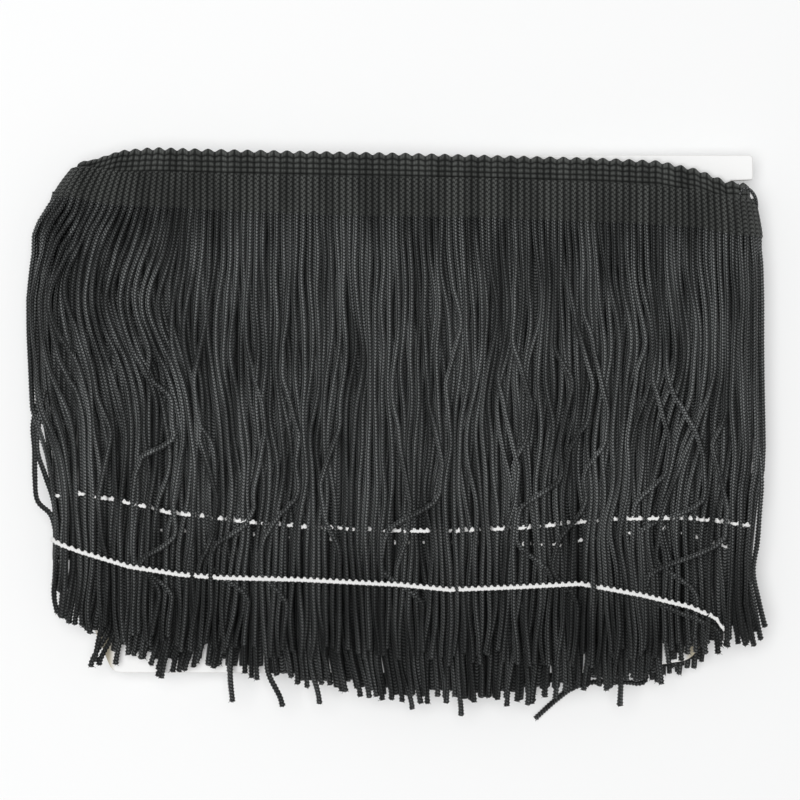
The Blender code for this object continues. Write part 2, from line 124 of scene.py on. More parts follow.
def runSpan(run):  # the stretch of a run with half of each turn
    low, high = headingEdges[run][0][0], headingEdges[run][-1][0]
    for side, edge, partner, centre, radius in turnsOf(run):
        if side > 0:
            high = edge + math.pi / 2 * radius
        else:
            low = edge - math.pi / 2 * radius
    return low, high


def smoothStep(value):
    value = np.clip(value, 0.0, 1.0)
    return value * value * (3 - 2 * value)


def smoothRead(grid, rows, at):  # Catmull-Rom reading of rows at even steps
    place = np.clip((at - grid[0]) / (grid[1] - grid[0]), 0, len(grid) - 1.001)
    i = place.astype(int)
    t = place - i
    a, b, c, d = (rows[np.clip(i + k, 0, len(grid) - 1)] for k in (-1, 0, 1, 2))
    return 0.5 * (2 * b + (c - a) * t + (2 * a - 5 * b + 4 * c - d) * t ** 2 + (3 * (b - c) + d - a) * t ** 3)


def smoothCourse(points, step):  # an evenly spaced smooth line through given points
    points = np.array(points, float)
    fine = np.linspace(0, len(points) - 1, len(points) * 24)
    line = np.stack([smoothRead(np.arange(len(points)), points[:, k], fine) for k in range(3)], -1)
    length = np.concatenate([[0], np.cumsum(np.linalg.norm(np.diff(line, axis=0), axis=1))])
    at = np.linspace(0, length[-1], max(2, int(length[-1] / step)))
    return np.stack([np.interp(at, length, line[:, k]) for k in range(3)], -1)


class MeshParts:  # gathers the points, faces and UVs of many tubes for one object
    endRise = 0.35  # height of the cone on a tube's end, as a share of the tube's half height

    def __init__(self):
        self.points, self.quads, self.quadUvs, self.tris, self.triUvs, self.count = [], [], [], [], [], 0

    def addTube(self, points, out, wide, high, relief, stitch):
        # points and outward directions, half width and half height, relief by ring and side, stitch length
        rings, sides = relief.shape
        along = np.gradient(points, axis=0)
        along /= np.linalg.norm(along, axis=1, keepdims=True)
        across = np.cross(along, out)
        across /= np.linalg.norm(across, axis=1, keepdims=True)
        top = np.cross(across, along)
        angle = (np.arange(sides) + 0.5) / sides * 2 * math.pi
        offset = (across[:, None, :] * (np.sin(angle)[None, :] * wide[:, None] * relief)[:, :, None]
                  + top[:, None, :] * (np.cos(angle)[None, :] * high[:, None] * relief)[:, :, None])
        first = self.count
        self.points.append((points[:, None, :] + offset).reshape(-1, 3))
        self.count += rings * sides
        i, j = np.meshgrid(np.arange(rings - 1), np.arange(sides), indexing="ij")
        after = (j + 1) % sides
        corners = [i * sides + j, i * sides + after, (i + 1) * sides + after, (i + 1) * sides + j]
        self.quads.append(np.stack(corners, -1).reshape(-1, 4) + first)
        length = np.concatenate([[0], np.cumsum(np.linalg.norm(np.diff(points, axis=0), axis=1))]) / stitch
        u = np.stack([j, j + 1, j + 1, j], -1) / sides
        v = np.stack([length[i], length[i], length[i + 1], length[i + 1]], -1)
        self.quadUvs.append(np.stack([u, v], -1).reshape(-1, 2))
        for ring, direction in ((0, -1), (rings - 1, 1)):  # a low cone closes each end
            loop = first + ring * sides + np.arange(sides)
            pair = (loop, np.roll(loop, -1)) if direction > 0 else (np.roll(loop, -1), loop)
            self.points.append((points[ring] + along[ring] * direction * high[ring] * self.endRise)[None])
            self.tris.append(np.stack([*pair, np.full(sides, self.count)], -1))
            corner = np.array([[0.1, 0.0], [0.2, 0.0], [0.15, 0.3]]) + [0, length[ring]]
            self.triUvs.append(np.tile(corner, (sides, 1)))
            self.count += 1

    def build(self, name, material):
        points, quads = np.concatenate(self.points), np.concatenate(self.quads)
        tris = np.concatenate(self.tris) if self.tris else np.zeros((0, 3), int)
        uvs = np.concatenate(self.quadUvs + self.triUvs)
        loops = np.concatenate([quads.ravel(), tris.ravel()])
        starts = np.concatenate([np.arange(len(quads)) * 4, len(quads) * 4 + np.arange(len(tris)) * 3])
        mesh = bpy.data.meshes.new(name)
        mesh.vertices.add(len(points))
        mesh.vertices.foreach_set("co", ((points + [shiftX, shiftY, 0]) * mm).ravel())
        mesh.loops.add(len(loops))
        mesh.loops.foreach_set("vertex_index", loops)
        mesh.polygons.add(len(starts))
        mesh.polygons.foreach_set("loop_start", starts)
        mesh.update(calc_edges=True)
        mesh.uv_layers.new(name="stitches").data.foreach_set("uv", uvs.ravel())
        mesh.polygons.foreach_set("use_smooth", np.ones(len(starts), bool))
        mesh.validate()
        mesh.materials.append(material)
        piece = bpy.data.objects.new(name, mesh)
        bpy.context.scene.collection.objects.link(piece)
        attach(piece, "root")
        print("piece:", name, len(quads) * 2 + len(tris), "triangles")
        return piece


def knitRelief(points, sides, depth):  # stitches that stand out by turns on the left and right of a cord
    fine = np.linalg.norm(np.gradient(points, axis=0), axis=1) < cordSettings["stitch"] * 0.8
    return 1 + depth * fine[:, None] * (-1.0) ** (np.arange(sides)[None, :] + np.arange(len(points))[:, None])


# Shader groups

def newGroup(name, inputs, outputs):
    group = bpy.data.node_groups.new(name, "ShaderNodeTree")
    for label, value in inputs.items():
        socket = group.interface.new_socket(name=label, in_out="INPUT", socket_type="NodeSocketFloat")
        socket.default_value = value
    for label in outputs:
        group.interface.new_socket(name=label, in_out="OUTPUT", socket_type="NodeSocketFloat")
    return group, group.nodes.new("NodeGroupInput"), group.nodes.new("NodeGroupOutput")


def math2(nodes, links, operation, a, b=0.0):  # a Math node with sockets or numbers on its inputs
    node = nodes.new("ShaderNodeMath")
    node.operation = operation
    for socket, value in ((node.inputs[0], a), (node.inputs[1], b)):
        if isinstance(value, (int, float)):
            socket.default_value = value
        else:
            links.new(value, socket)
    return node.outputs[0]


def mapRange(nodes, links, source, start, end, low=0.0, high=1.0):  # start..end becomes low..high
    node = nodes.new("ShaderNodeMapRange")
    for label, value in (("From Min", start), ("From Max", end), ("To Min", low), ("To Max", high)):
        node.inputs[label].default_value = value
    links.new(source, node.inputs["Value"])
    return node.outputs["Result"]


def splitAxes(nodes, links, source):  # the X, Y and Z of a vector
    node = nodes.new("ShaderNodeSeparateXYZ")
    links.new(source, node.inputs[0])
    return node.outputs


def addBump(nodes, links, shader, height, strength, distance):
    bump = nodes.new("ShaderNodeBump")
    bump.inputs["Strength"].default_value = strength
    bump.inputs["Distance"].default_value = distance
    links.new(height, bump.inputs["Height"])
    links.new(bump.outputs["Normal"], shader.inputs["Normal"])


def sideDistance(nodes, links, source):  # 0 in the middle of each whole step of the source, 1 at its sides
    whole = math2(nodes, links, "MULTIPLY", math2(nodes, links, "FRACT", source), 2.0)
    return math2(nodes, links, "ABSOLUTE", math2(nodes, links, "SUBTRACT", whole, 1.0))


def makeStitchGroup():
    # V-shaped chain stitches round a cord: U goes round it, V counts its stitches
    inputs = {"Columns": 4.0, "Slant": 0.5, "Seam": 1.0, "Ribs": 0.0, "Stagger": 0.5, "Sharp": 1.6}
    group, start, end = newGroup("chainStitch", inputs, ["Height"])
    nodes, links = group.nodes, group.links
    uv = nodes.new("ShaderNodeUVMap")
    uv.uv_map = "stitches"
    place = splitAxes(nodes, links, uv.outputs["UV"])
    column = math2(nodes, links, "MULTIPLY", place["X"], start.outputs["Columns"])
    across = sideDistance(nodes, links, column)
    lean = math2(nodes, links, "MULTIPLY", across, start.outputs["Slant"])
    turned = math2(nodes, links, "MULTIPLY", math2(nodes, links, "FLOOR", column), start.outputs["Stagger"])
    shifted = math2(nodes, links, "ADD", math2(nodes, links, "ADD", place["Y"], lean), turned)
    row = math2(nodes, links, "FRACT", shifted)
    bead = math2(nodes, links, "SINE", math2(nodes, links, "MULTIPLY", row, math.pi))
    seam = math2(nodes, links, "MULTIPLY", math2(nodes, links, "POWER", across, 3.0), start.outputs["Seam"])
    gap = math2(nodes, links, "POWER", sideDistance(nodes, links, place["X"]), 3.0)
    rib = math2(nodes, links, "SUBTRACT", 1.0, math2(nodes, links, "MULTIPLY", gap, start.outputs["Ribs"]))
    edge = math2(nodes, links, "MULTIPLY", math2(nodes, links, "SUBTRACT", 1.0, seam), rib)
    rounded = math2(nodes, links, "POWER", bead, start.outputs["Sharp"])
    links.new(math2(nodes, links, "MULTIPLY", rounded, edge), end.inputs["Height"])
    return group


# Painted shade on the cords along Y, in their colour: a painted shadow of the heading darkens their first
# millimetres, which is full at rootTop and gone at rootEnd, and painted shade darkens them from tailTop to
# tailEnd, down to tailLight
paintedShadeSettings = {
    "rootTop": 40.0, "rootEnd": 32.0, "tailTop": -13.0, "tailEnd": -45.0, "tailLight": 0.49,
    "toneStretch": 0.14,  # tones run along the cords
}


def makeFibreGroup():
    # Fine filaments and slow changes of tone over a textile, and a painted shade mask along Y for the cords
    settings = paintedShadeSettings
    inputs = {"Fine": 9000.0, "Slow": 90.0, "Shade": 0.0}
    group, start, end = newGroup("yarnFibreAndShade", inputs, ["Fibre", "Tone", "PaintedShade"])
    nodes, links = group.nodes, group.links
    place = nodes.new("ShaderNodeTexCoord").outputs["Object"]
    drawn = nodes.new("ShaderNodeVectorMath")
    drawn.operation = "MULTIPLY"
    drawn.inputs[1].default_value = (1.0, settings["toneStretch"], 1.0)
    links.new(place, drawn.inputs[0])
    layers = (("Fibre", "Fine", 2.0, place), ("Tone", "Slow", 3.0, drawn.outputs[0]))
    for label, scale, detail, source in layers:
        noise = nodes.new("ShaderNodeTexNoise")
        noise.inputs["Detail"].default_value = detail
        links.new(source, noise.inputs["Vector"])
        links.new(start.outputs[scale], noise.inputs["Scale"])
        links.new(noise.outputs["Fac"], end.inputs[label])
    height = splitAxes(nodes, links, place)["Y"]
    tailEnd, tailTop, rootEnd, rootTop = [
        (shiftY + settings[key]) * mm for key in ("tailEnd", "tailTop", "rootEnd", "rootTop")]
    # painted shade: darker from tailTop down to tailEnd, and a painted shadow of the heading over the roots
    tail = mapRange(nodes, links, height, tailEnd, tailTop, settings["tailLight"])
    root = mapRange(nodes, links, height, rootEnd, rootTop)
    lit = math2(nodes, links, "SUBTRACT", 1.0, math2(nodes, links, "MULTIPLY", root, start.outputs["Shade"]))
    links.new(math2(nodes, links, "MULTIPLY", tail, lit), end.inputs["PaintedShade"])
    return group


stitchGroup = makeStitchGroup()
fibreGroup = makeFibreGroup()


def addGroup(nodes, group, **values):
    node = nodes.new("ShaderNodeGroup")
    node.node_tree = group
    for label, value in values.items():
        node.inputs[label].default_value = value
    return node


def colourMix(nodes, links, factor, dark, light):
    ramp = nodes.new("ShaderNodeMix")
    ramp.data_type = "RGBA"
    links.new(factor, ramp.inputs[0])
    for socket, value in ((ramp.inputs[6], dark), (ramp.inputs[7], light)):
        if isinstance(value, tuple):
            socket.default_value = (*value, 1)
        else:
            links.new(value, socket)
    return ramp.outputs[2]


# dark and light: painted shade between the stitches and painted highlight on them. tint: colour of the loose
# fibres.
# patches: how much the painted highlight changes from place to place. shade: how much the heading's painted
# shadow dims the first part.
yarnLooks = {
    "cordYarn": {
        "dark": (0.003, 0.0034, 0.0036), "light": (0.335, 0.35, 0.35), "tint": (0.006, 0.007, 0.0068),
        "rough": (0.3, 0.5), "bump": 1.0, "depth": 0.0004, "patches": 0.8, "shade": 0.3,
        "stitch": {"Columns": 4.0, "Slant": 0.5, "Seam": 1.0, "Ribs": 0.0, "Stagger": 0.5, "Sharp": 1.6},
    },
    "headingYarn": {
        "dark": (0.0025, 0.0028, 0.0028), "light": (0.108, 0.1135, 0.108), "tint": (0.006, 0.007, 0.0066),
        "stitch": {"Columns": 2.0, "Slant": 0.3, "Seam": 0.35, "Ribs": 1.0, "Stagger": 0.5, "Sharp": 0.8},
    },
    "edgeYarn": {
        "dark": (0.0025, 0.0028, 0.0028), "light": (0.107, 0.1125, 0.107), "tint": (0.006, 0.007, 0.0066),
        "stitch": {"Columns": 2.0, "Slant": 0.0, "Seam": 0.45, "Ribs": 0.8, "Stagger": 0.0, "Sharp": 0.7},
    },
    "keeperYarn": {
        "dark": (0.78, 0.78, 0.77), "light": (0.97, 0.97, 0.96), "tint": (0.93, 0.93, 0.92),
        "rough": (0.5, 0.7), "bump": 0.4, "depth": 0.0001, "patches": 0.0, "sheen": 0.1, "specular": 0.4,
        "stitch": {"Columns": 3.0, "Slant": 0.7, "Seam": 1.0, "Ribs": 0.0, "Stagger": 0.5, "Sharp": 1.6},
    },
}
# What a yarn has unless it says otherwise, then what all share: sizes of the noises, the noise levels between
# which a patch fades, how far it dims and lifts the painted highlight, and how much the fibres count in
# colour and relief
yarnShared = {
    "rough": (0.34, 0.55), "bump": 0.9, "depth": 0.0003, "patches": 0.5, "shade": 0.0, "sheen": 0.0,
    "specular": 0.2, "fine": 7000.0, "slow": 260.0, "patchFrom": 0.38, "patchTo": 0.62, "patchDim": 0.75,
    "patchLift": 0.25, "fibreTint": 0.3, "fibreRelief": 0.3, "sheenRoughness": 0.4,
}


def makeYarn(name):
    look = {**yarnShared, **yarnLooks[name]}
    material = bpy.data.materials.new(name)
    material.use_nodes = True
    nodes, links = material.node_tree.nodes, material.node_tree.links
    shader = nodes["Principled BSDF"]
    stitch = addGroup(nodes, stitchGroup, **look["stitch"])
    fibre = addGroup(nodes, fibreGroup, Fine=look["fine"], Slow=look["slow"], Shade=look["shade"])
    patch = mapRange(nodes, links, fibre.outputs["Tone"], look["patchFrom"], look["patchTo"],
                     1 - look["patchDim"] * look["patches"], 1 + look["patchLift"] * look["patches"])
    # painted highlight on each stitch and painted shade between stitches: the stitch height mixes dark into
    # light in the base colour, dimmed by the painted shade along Y
    paintedShine = math2(nodes, links, "MULTIPLY", stitch.outputs["Height"], patch)
    paintedShine = math2(nodes, links, "MULTIPLY", paintedShine, fibre.outputs["PaintedShade"])
    base = colourMix(nodes, links, paintedShine, look["dark"], look["light"])
    loose = math2(nodes, links, "MULTIPLY", fibre.outputs["Fibre"], look["fibreTint"])
    links.new(colourMix(nodes, links, loose, base, look["tint"]), shader.inputs["Base Color"])
    rough = mapRange(nodes, links, fibre.outputs["Fibre"], 0.0, 1.0, *look["rough"])
    links.new(rough, shader.inputs["Roughness"])
    fuzz = math2(nodes, links, "MULTIPLY", fibre.outputs["Fibre"], look["fibreRelief"])
    relief = math2(nodes, links, "ADD", stitch.outputs["Height"], fuzz)
    addBump(nodes, links, shader, relief, look["bump"], look["depth"])
    shader.inputs["Sheen Weight"].default_value = look["sheen"]
    shader.inputs["Sheen Roughness"].default_value = look["sheenRoughness"]
    shader.inputs["Specular IOR Level"].default_value = look["specular"]
    return material


cordYarn, headingYarn, edgeYarn, keeperYarn = (makeYarn(name) for name in yarnLooks)
print("stage: yarns made")


# Cords

# Sideways sweep of the front cords in mm, by root and depth below the heading
flowDepths = np.array([0.0, 10.0, 20.0, 30.0, 38.0, 56.0, 66.0, 76.0, 110.0])
flowRows = np.array([
    (-84, 0, 0, 0, 0, 0.5, 0.2, 0), (-76, -1.2, -1.6, -1.4, -0.8, 0.6, 0.3, 0),
    (-70, -3.2, -4.6, -4.6, -3.6, -1, -0.2, 0.3), (-65, -5, -6.4, -5.6, -3.6, 0.8, 0.6, 0.5),
    (-59, -3.6, -6.4, -3.2, 0, 2.6, 1.4, 0.5), (-50, -1.4, -5.2, -2.6, 2.2, 3.2, 1.3, 0.4),
    (-41, -0.6, -1.6, -2.2, -1.4, 1.4, 0.8, 0), (-30, -0.3, -0.5, 0.4, 1, 1.4, 0.2, -0.5),
    (-15, 0, 0.3, 0.4, 0.3, -1.5, -1.6, -1), (0, 0, 0, 0.3, 0.6, 0.5, -0.4, 0),
    (12, 0, 1, 1.4, 1.6, -0.3, -0.6, 0), (25, 0.3, 1.2, -0.6, -1.4, -1, 0.4, 0),
    (35, 0, 0.5, 1.2, 1.8, -1.8, -1.6, -0.5), (45, 0.5, 2, 2.2, 1.5, 1, -0.6, 0),
    (55, 0.3, 1, 1.2, 0.4, -2.6, -3.8, -2.6), (60, 0.2, 0.8, 1.4, 0.8, -4, -6.2, -5),
    (65, 0, 0.6, 1.2, 1, -3.2, -5.8, -5.2), (70, 0, 0.5, 0.8, 0.6, -0.6, -2.4, -2.4),
    (73, 0, 0.4, 0.6, 0.4, 0.3, 0, 0), (84, 0, 0, 0, 0, 0, 0, 0),
])

# How far the cords on the two turns stand out past the winding: depth, left, right
puffRows = np.array([
    (0, 0.1, 1), (2.5, 1.9, 1.05), (5, 3.7, 1.1), (8, 4.7, 1.13), (12, 4.5, 1.17), (15, 4.8, 1.2),
    (22, 5.5, 1.25), (30, 5.5, 1.3), (46, 5.2, 1.6), (51, 3.9, 1.4), (56, 2.6, 0), (70, 0, -1.9),
    (80, 0, -1.8), (90, 0.6, 1),
])

# Places where neighbouring cords gather (positive pull) or part (negative): x, y, pull, radius, reach along Y
gatherRows = [
    (13, -8.7, 1.6, 4.5, 9), (25, -19.6, 1.5, 4.5, 9), (30.6, -5.5, -1.3, 2.6, 6), (-33, -10, 1.2, 4, 12),
    (-19.5, -14, 1.1, 3.5, 9), (47, 4, 1.2, 4, 12), (-8, 8, 0.9, 3.2, 9), (61, -14, 1.2, 4, 10),
    (-58, -12, 1.2, 4, 9), (3, -20, 1.1, 3.5, 8), (-45, -24, 1.2, 3.6, 9), (38, -27, 1, 3.4, 8),
    (-67, 12, 1, 3.6, 10), (55, 22, 0.9, 3.2, 9), (-26, 20, 0.8, 3, 8), (20, 24, 0.7, 3, 8),
]

# The cut ends of each layer: x, y
frontEnds = [
    (-80, -36.5), (-76, -38), (-73, -46), (-66, -50.5), (-56, -52.5), (-40, -54), (0, -56), (40, -56.5),
    (58, -55.5), (68, -52.5), (75, -53), (82, -50),
]
secondEnds = [
    (-76, -45), (-71, -48.5), (-66.4, -50), (-65.6, -57), (-61.5, -57.4), (-59, -56), (-53.4, -56.8),
    (-51.8, -60), (-49, -60), (-42, -58), (-30, -60.2), (-18, -62.8), (0, -65.4), (18, -66), (28, -66),
    (40, -63), (56, -61.5), (62, -56.5), (76, -53),
]
thirdEnds = [
    (-76, -42), (-66, -49), (-61, -56), (-56, -55.5), (-49, -58.6), (-42, -57.2), (-30, -59.6), (-18, -62),
    (0, -64.4), (18, -65.2), (28, -65), (40, -62.2), (56, -60.5), (62, -54), (76, -50),
]
backEnds = [
    (-74, -42), (-66, -48), (-60, -54.5), (-50, -57), (-30, -59.4), (-18, -61.8), (0, -63.8), (30, -64.2),
    (56, -61.5), (62, -59.6), (66.5, -58.4), (68.5, -52), (80, -50),
]
underEnds = [
    (-74, -42), (-66, -48), (-60, -54), (-50, -55.5), (-20, -59.5), (30, -60.2), (50, -59.6), (55.6, -59.8),
    (58, -61.4), (62, -59.6), (66.5, -58.4), (68.5, -52), (80, -50),
]
# Sideways shift of the cut ends: x, shift
leanRows = [
    (-76, -0.6), (-66, -2.4), (-54, -1.6), (-46, -2.4), (-36, -1), (-26, 1.4), (-10, 2), (2, 1.6), (14, 0.2),
    (40, -0.6), (60, 0.2), (76, 1.4),
]


def cordLayer(**own):  # what most layers share, with a layer's own values
    shared = {
        "node": None, "sides": 5, "step": 1.6, "plainStep": 4.0, "extraWidth": 0.0, "filaments": 2,
        "gather": 0.0, "scatter": 1.2, "wave": 0.5, "flow": 0.0, "lean": 0.4, "keeper": False,
        "crossings": False, "strays": [],
    }
    return {**shared, **own}


# strays: x, y of the end, swing of single long cords
cordLayers = {
    "front_1": cordLayer(
        pieces=["frontCordsLeft", "frontCordsMiddle", "frontCordsRight"], node="front_fringe",
        ends=frontEnds, seed=11, phase=0.0, sides=6, step=0.35, plainStep=0.35, filaments=4, gather=1.0,
        scatter=1.8, wave=1.0, flow=1.0, puff=1.0, keeper=True, crossings=True,
    ),
    "front_2": cordLayer(
        pieces=["secondCordsLeft", "secondCordsRight"], node="second_fringe", ends=secondEnds, seed=23,
        phase=0.45, sides=6, step=0.35, plainStep=1.2, filaments=4, gather=0.3, scatter=1.1, wave=0.7,
        flow=0.8, lean=1.0, puff=0.7,
        strays=[(-63.4, -58.2, -2.6), (-61.6, -57.9, -1.8), (-49.4, -60.6, -1.2), (-35.8, -66, 0.8),
                (-28.4, -67.2, 3.2), (-19, -66.5, 0.8), (0, -67.6, 1.2), (12, -69, 0.3), (50.6, -66.9, -0.6),
                (60.2, -62, 0.8)],
    ),
    "front_3": cordLayer(
        pieces=["thirdCords"], ends=thirdEnds, seed=37, phase=0.2, extraWidth=0.62, scatter=1.1, wave=0.06,
        flow=0.06, lean=0.7, puff=0.4,
    ),
    "back_3": cordLayer(pieces=["innerBackCords"], ends=backEnds, seed=41, phase=0.7, puff=0.4),
    "back_2": cordLayer(pieces=["middleBackCords"], ends=backEnds, seed=43, phase=0.3, puff=0.6),
    "back_1": cordLayer(
        pieces=["underCords"], node="under_fringe", ends=underEnds, seed=47, phase=0.0, sides=6, step=2.0,
        plainStep=2.0, scatter=1.0, wave=0.6, puff=0.8,
    ),
}
# growth: depth and share of the wander, which grows below the heading, and endGrowth its share at the ends of
# the winding. keeperCalm and keeperHold: how much of the wander and of the lift goes near the keeper, within
# calmReach and holdReach. overLift: how high a cord passes over it. leadLength: how long a cord takes to
# leave its line. swell: how much its thickness wanders. endSwell: how its cut end opens. tail...: its lean.
cordSettings = {
    "width": 1.12, "height": 0.92, "restHeight": 0.64, "stitch": 0.7, "relief": 0.2, "room": 1.06,
    "levelLift": 0.42, "levelDepth": 7.0, "liftWander": 0.12, "gridStep": 2.0, "gridDepth": 114.0,
    "droopFromY": -60.5, "droop": 0.03, "seatDepth": -1.4, "fineBelowY": -40.0, "leadLength": 9.0,
    "swell": 0.05, "swellPlaces": 12, "endSwell": [1.0, 1.06, 1.12, 1.06],
    "growth": [(14, 0.55), (48, 0.45)], "endGrowth": 0.35, "keeperCalm": 0.75, "calmReach": 8.0,
    "keeperHold": 0.85, "holdReach": 3.5, "overLift": 1.15, "overReach": 5.0, "tailSpread": 0.45,
    "tailFrom": 11.0, "tailLength": 13.0,
}

# Cords that cross their neighbours on the front: x, y, lift above the layer's mid-plane
crossingCourses = [
    [(-54.8, 6, -0.2), (-54.3, 4.3, 0.5), (-50, -0.2, 1.1), (-49.1, -5, 1.2), (-47.6, -12.6, 1.2),
     (-47.2, -17.4, 1), (-48.3, -23.5, 0.4), (-48.8, -28, -0.3)],
    [(-49.6, -3.5, -0.2), (-49.1, -8, 1), (-52, -10.4, 1.5), (-55.7, -12, 1.2), (-57.4, -16, 1),
     (-58, -20.4, 0.8), (-58.4, -28, 0.2), (-58.6, -33, -0.4)],
    [(-32, 5, -0.3), (-30, 0, 0.8), (-29.2, -6.5, 1.2), (-31, -16, 1.2), (-33.4, -26, 0.9), (-34, -32, 0)],
    [(-23, 2, -0.3), (-22, -2, 0.8), (-20.4, -9, 1.2), (-20.7, -15.2, 1.3), (-22.4, -21, 1.3),
     (-26.6, -25.5, 1.2), (-29.6, -30, 0.8), (-31, -36, -0.2)],
    [(33.4, 8, -0.3), (33.2, 2, 0.7), (33.9, -4, 1.2), (32, -9, 1.2), (28.2, -16, 1.2), (26, -22, 1),
     (25.2, -30, 0.2)],
    [(-31.8, -24, 0.2), (-33.7, -27.2, 1), (-37, -29.4, 1.3), (-40.2, -31.5, 1.1), (-41.4, -35, 0.2)],
    [(-47.8, -24.5, -0.1), (-49.8, -26.5, 0.9), (-53.6, -29, 1.1), (-57, -32, 0.9), (-58, -34, 0)],
    [(68.4, 6, -0.3), (66.6, 0, 0.7), (63.4, -8, 1.1), (59.6, -17, 1.2), (56.8, -25, 1), (55.6, -34, -0.1)],
    [(66, -18, -0.2), (64.6, -22, 0.9), (62.2, -27, 1.2), (58, -32, 1.1), (54.4, -37, 0.6),
     (53.4, -42, -0.2)],
    [(57, 4, -0.3), (58, 0.6, 0.8), (60.6, -3.4, 1.6), (63, -7.6, 1.5), (64.6, -12, 0.9), (64.9, -20, -0.2)],
    [(58.2, 4.6, -0.3), (59.4, 1.2, 0.8), (61.9, -3, 1.6), (64.2, -7.2, 1.5), (65.8, -11.6, 0.9),
     (66.3, -19, -0.2)],
    [(4, -14, -0.2), (4.6, -18, 1), (2.6, -22, 1.2), (-1.4, -26, 1.2), (-3.4, -30, 0.8), (-4.2, -36, -0.2)],
    [(40, -18, -0.2), (40.4, -22, 0.9), (38.2, -26, 1.2), (34.6, -30, 1.1), (33, -36, -0.1)],
]

# Short crossings at drawn places: where they start, how far they shift, and their course as shares of the
# shift, depths below the start and lifts
crosserSettings = {
    "count": 18, "x": (-66, 68), "y": (-12, 18), "shift": (2.0, 4.4),
    "course": [(0, 0, 0.6), (0.4, 5, 1.1), (1, 13, 1.2), (0.8, 19, 0.9)],
}

# The white keeper stitch of the front layer: x, y
keeperRows = [
    (-80, -28), (-76.1, -30.4), (-69.6, -33), (-58.7, -36.3), (-47.8, -38), (-39.1, -38.7), (-21.7, -39.1),
    (0, -40.2), (10.9, -41.3), (26, -40.7), (39.1, -40), (52.2, -42.4), (63, -45), (68.5, -47.4),
    (70.4, -50), (78, -52),
]
overKeeper = [-46.1, -41.3, 12.4, 41.4, 42.7, 69.4]  # cords that pass over the front keeper

# The waves of the cords' wander: size, length, number of neighbours that share it
wanderRows = [(0.70, 60.0, 6), (0.42, 30.0, 4), (0.34, 62.0, 2), (0.26, 38.0, 1), (0.20, 17.0, 2)]
wanderSwing = (0.5, 1.4)  # least and most of a wave's size on one cord


def wanderField(rng, depths, count, wave):
    # Soft sideways wander of each cord, partly shared with its neighbours
    field = np.zeros((len(depths), count))
    for size, length, spread in wanderRows:
        phase = rng.uniform(0, 2 * math.pi, count + 2 * spread)
        swing = rng.uniform(*wanderSwing, count)
        kernel = np.ones(spread) / spread
        real = np.convolve(np.cos(phase), kernel, "same")[spread:spread + count]
        imaginary = np.convolve(np.sin(phase), kernel, "same")[spread:spread + count]
        angle = np.arctan2(imaginary, real)
        field += size * swing[None, :] * np.sin(2 * math.pi * depths[:, None] / length + angle[None, :])
    return field * wave


def flowField(roots, depths):
    columns = [np.interp(roots, flowRows[:, 0], flowRows[:, k]) for k in range(1, flowRows.shape[1])]
    table = np.array([np.zeros(len(roots)), *columns, columns[-1]])
    field = np.stack([np.interp(depths, flowDepths, table[:, k]) for k in range(len(roots))], 1)
    for _ in range(4):
        field[1:-1] = (field[:-2] + 2 * field[1:-1] + field[2:]) / 4
    return field


def gatherField(places, heights):
    # The pull of the gathering places at each grid point
    pull = np.zeros(places.shape)
    for x, y, size, radius, reach in gatherRows:
        away = (places - x) / radius
        pull -= size * away * np.exp(-away ** 2) * np.exp(-((heights - y) / reach) ** 2)
    return pull


def pushApart(places, room, passes=30):
    for _ in range(passes):
        short = np.maximum(room - np.diff(places, axis=1), 0) / 2
        places[:, :-1] -= short
        places[:, 1:] += short
    for _ in range(2):
        places[1:-1] = (places[:-2] + 2 * places[1:-1] + places[2:]) / 4
    return places


def leadOver(course, roots, heights, places, lift):
    # Leads one upper cord across its neighbours along a course of x, y and lift, and back into its own line
    course = np.array(course, float)[::-1]
    row = int(np.argmin(np.abs(heights[:, len(roots) // 2] - course[-1, 1])))
    cord = 1 + 2 * int(np.argmin(np.abs(places[row, 1::2] - course[-1, 0])))
    y = heights[:, cord]
    leave, back = course[-1, 1], course[0, 1]
    length = cordSettings["leadLength"]
    hold = smoothStep((leave + length - y) / length) * smoothStep((y - back + length) / length)
    places[:, cord] += hold * (np.interp(y, course[:, 1], course[:, 0]) - places[:, cord])
    lift[:, cord] += hold * (np.interp(y, course[:, 1], course[:, 2]) - lift[:, cord])


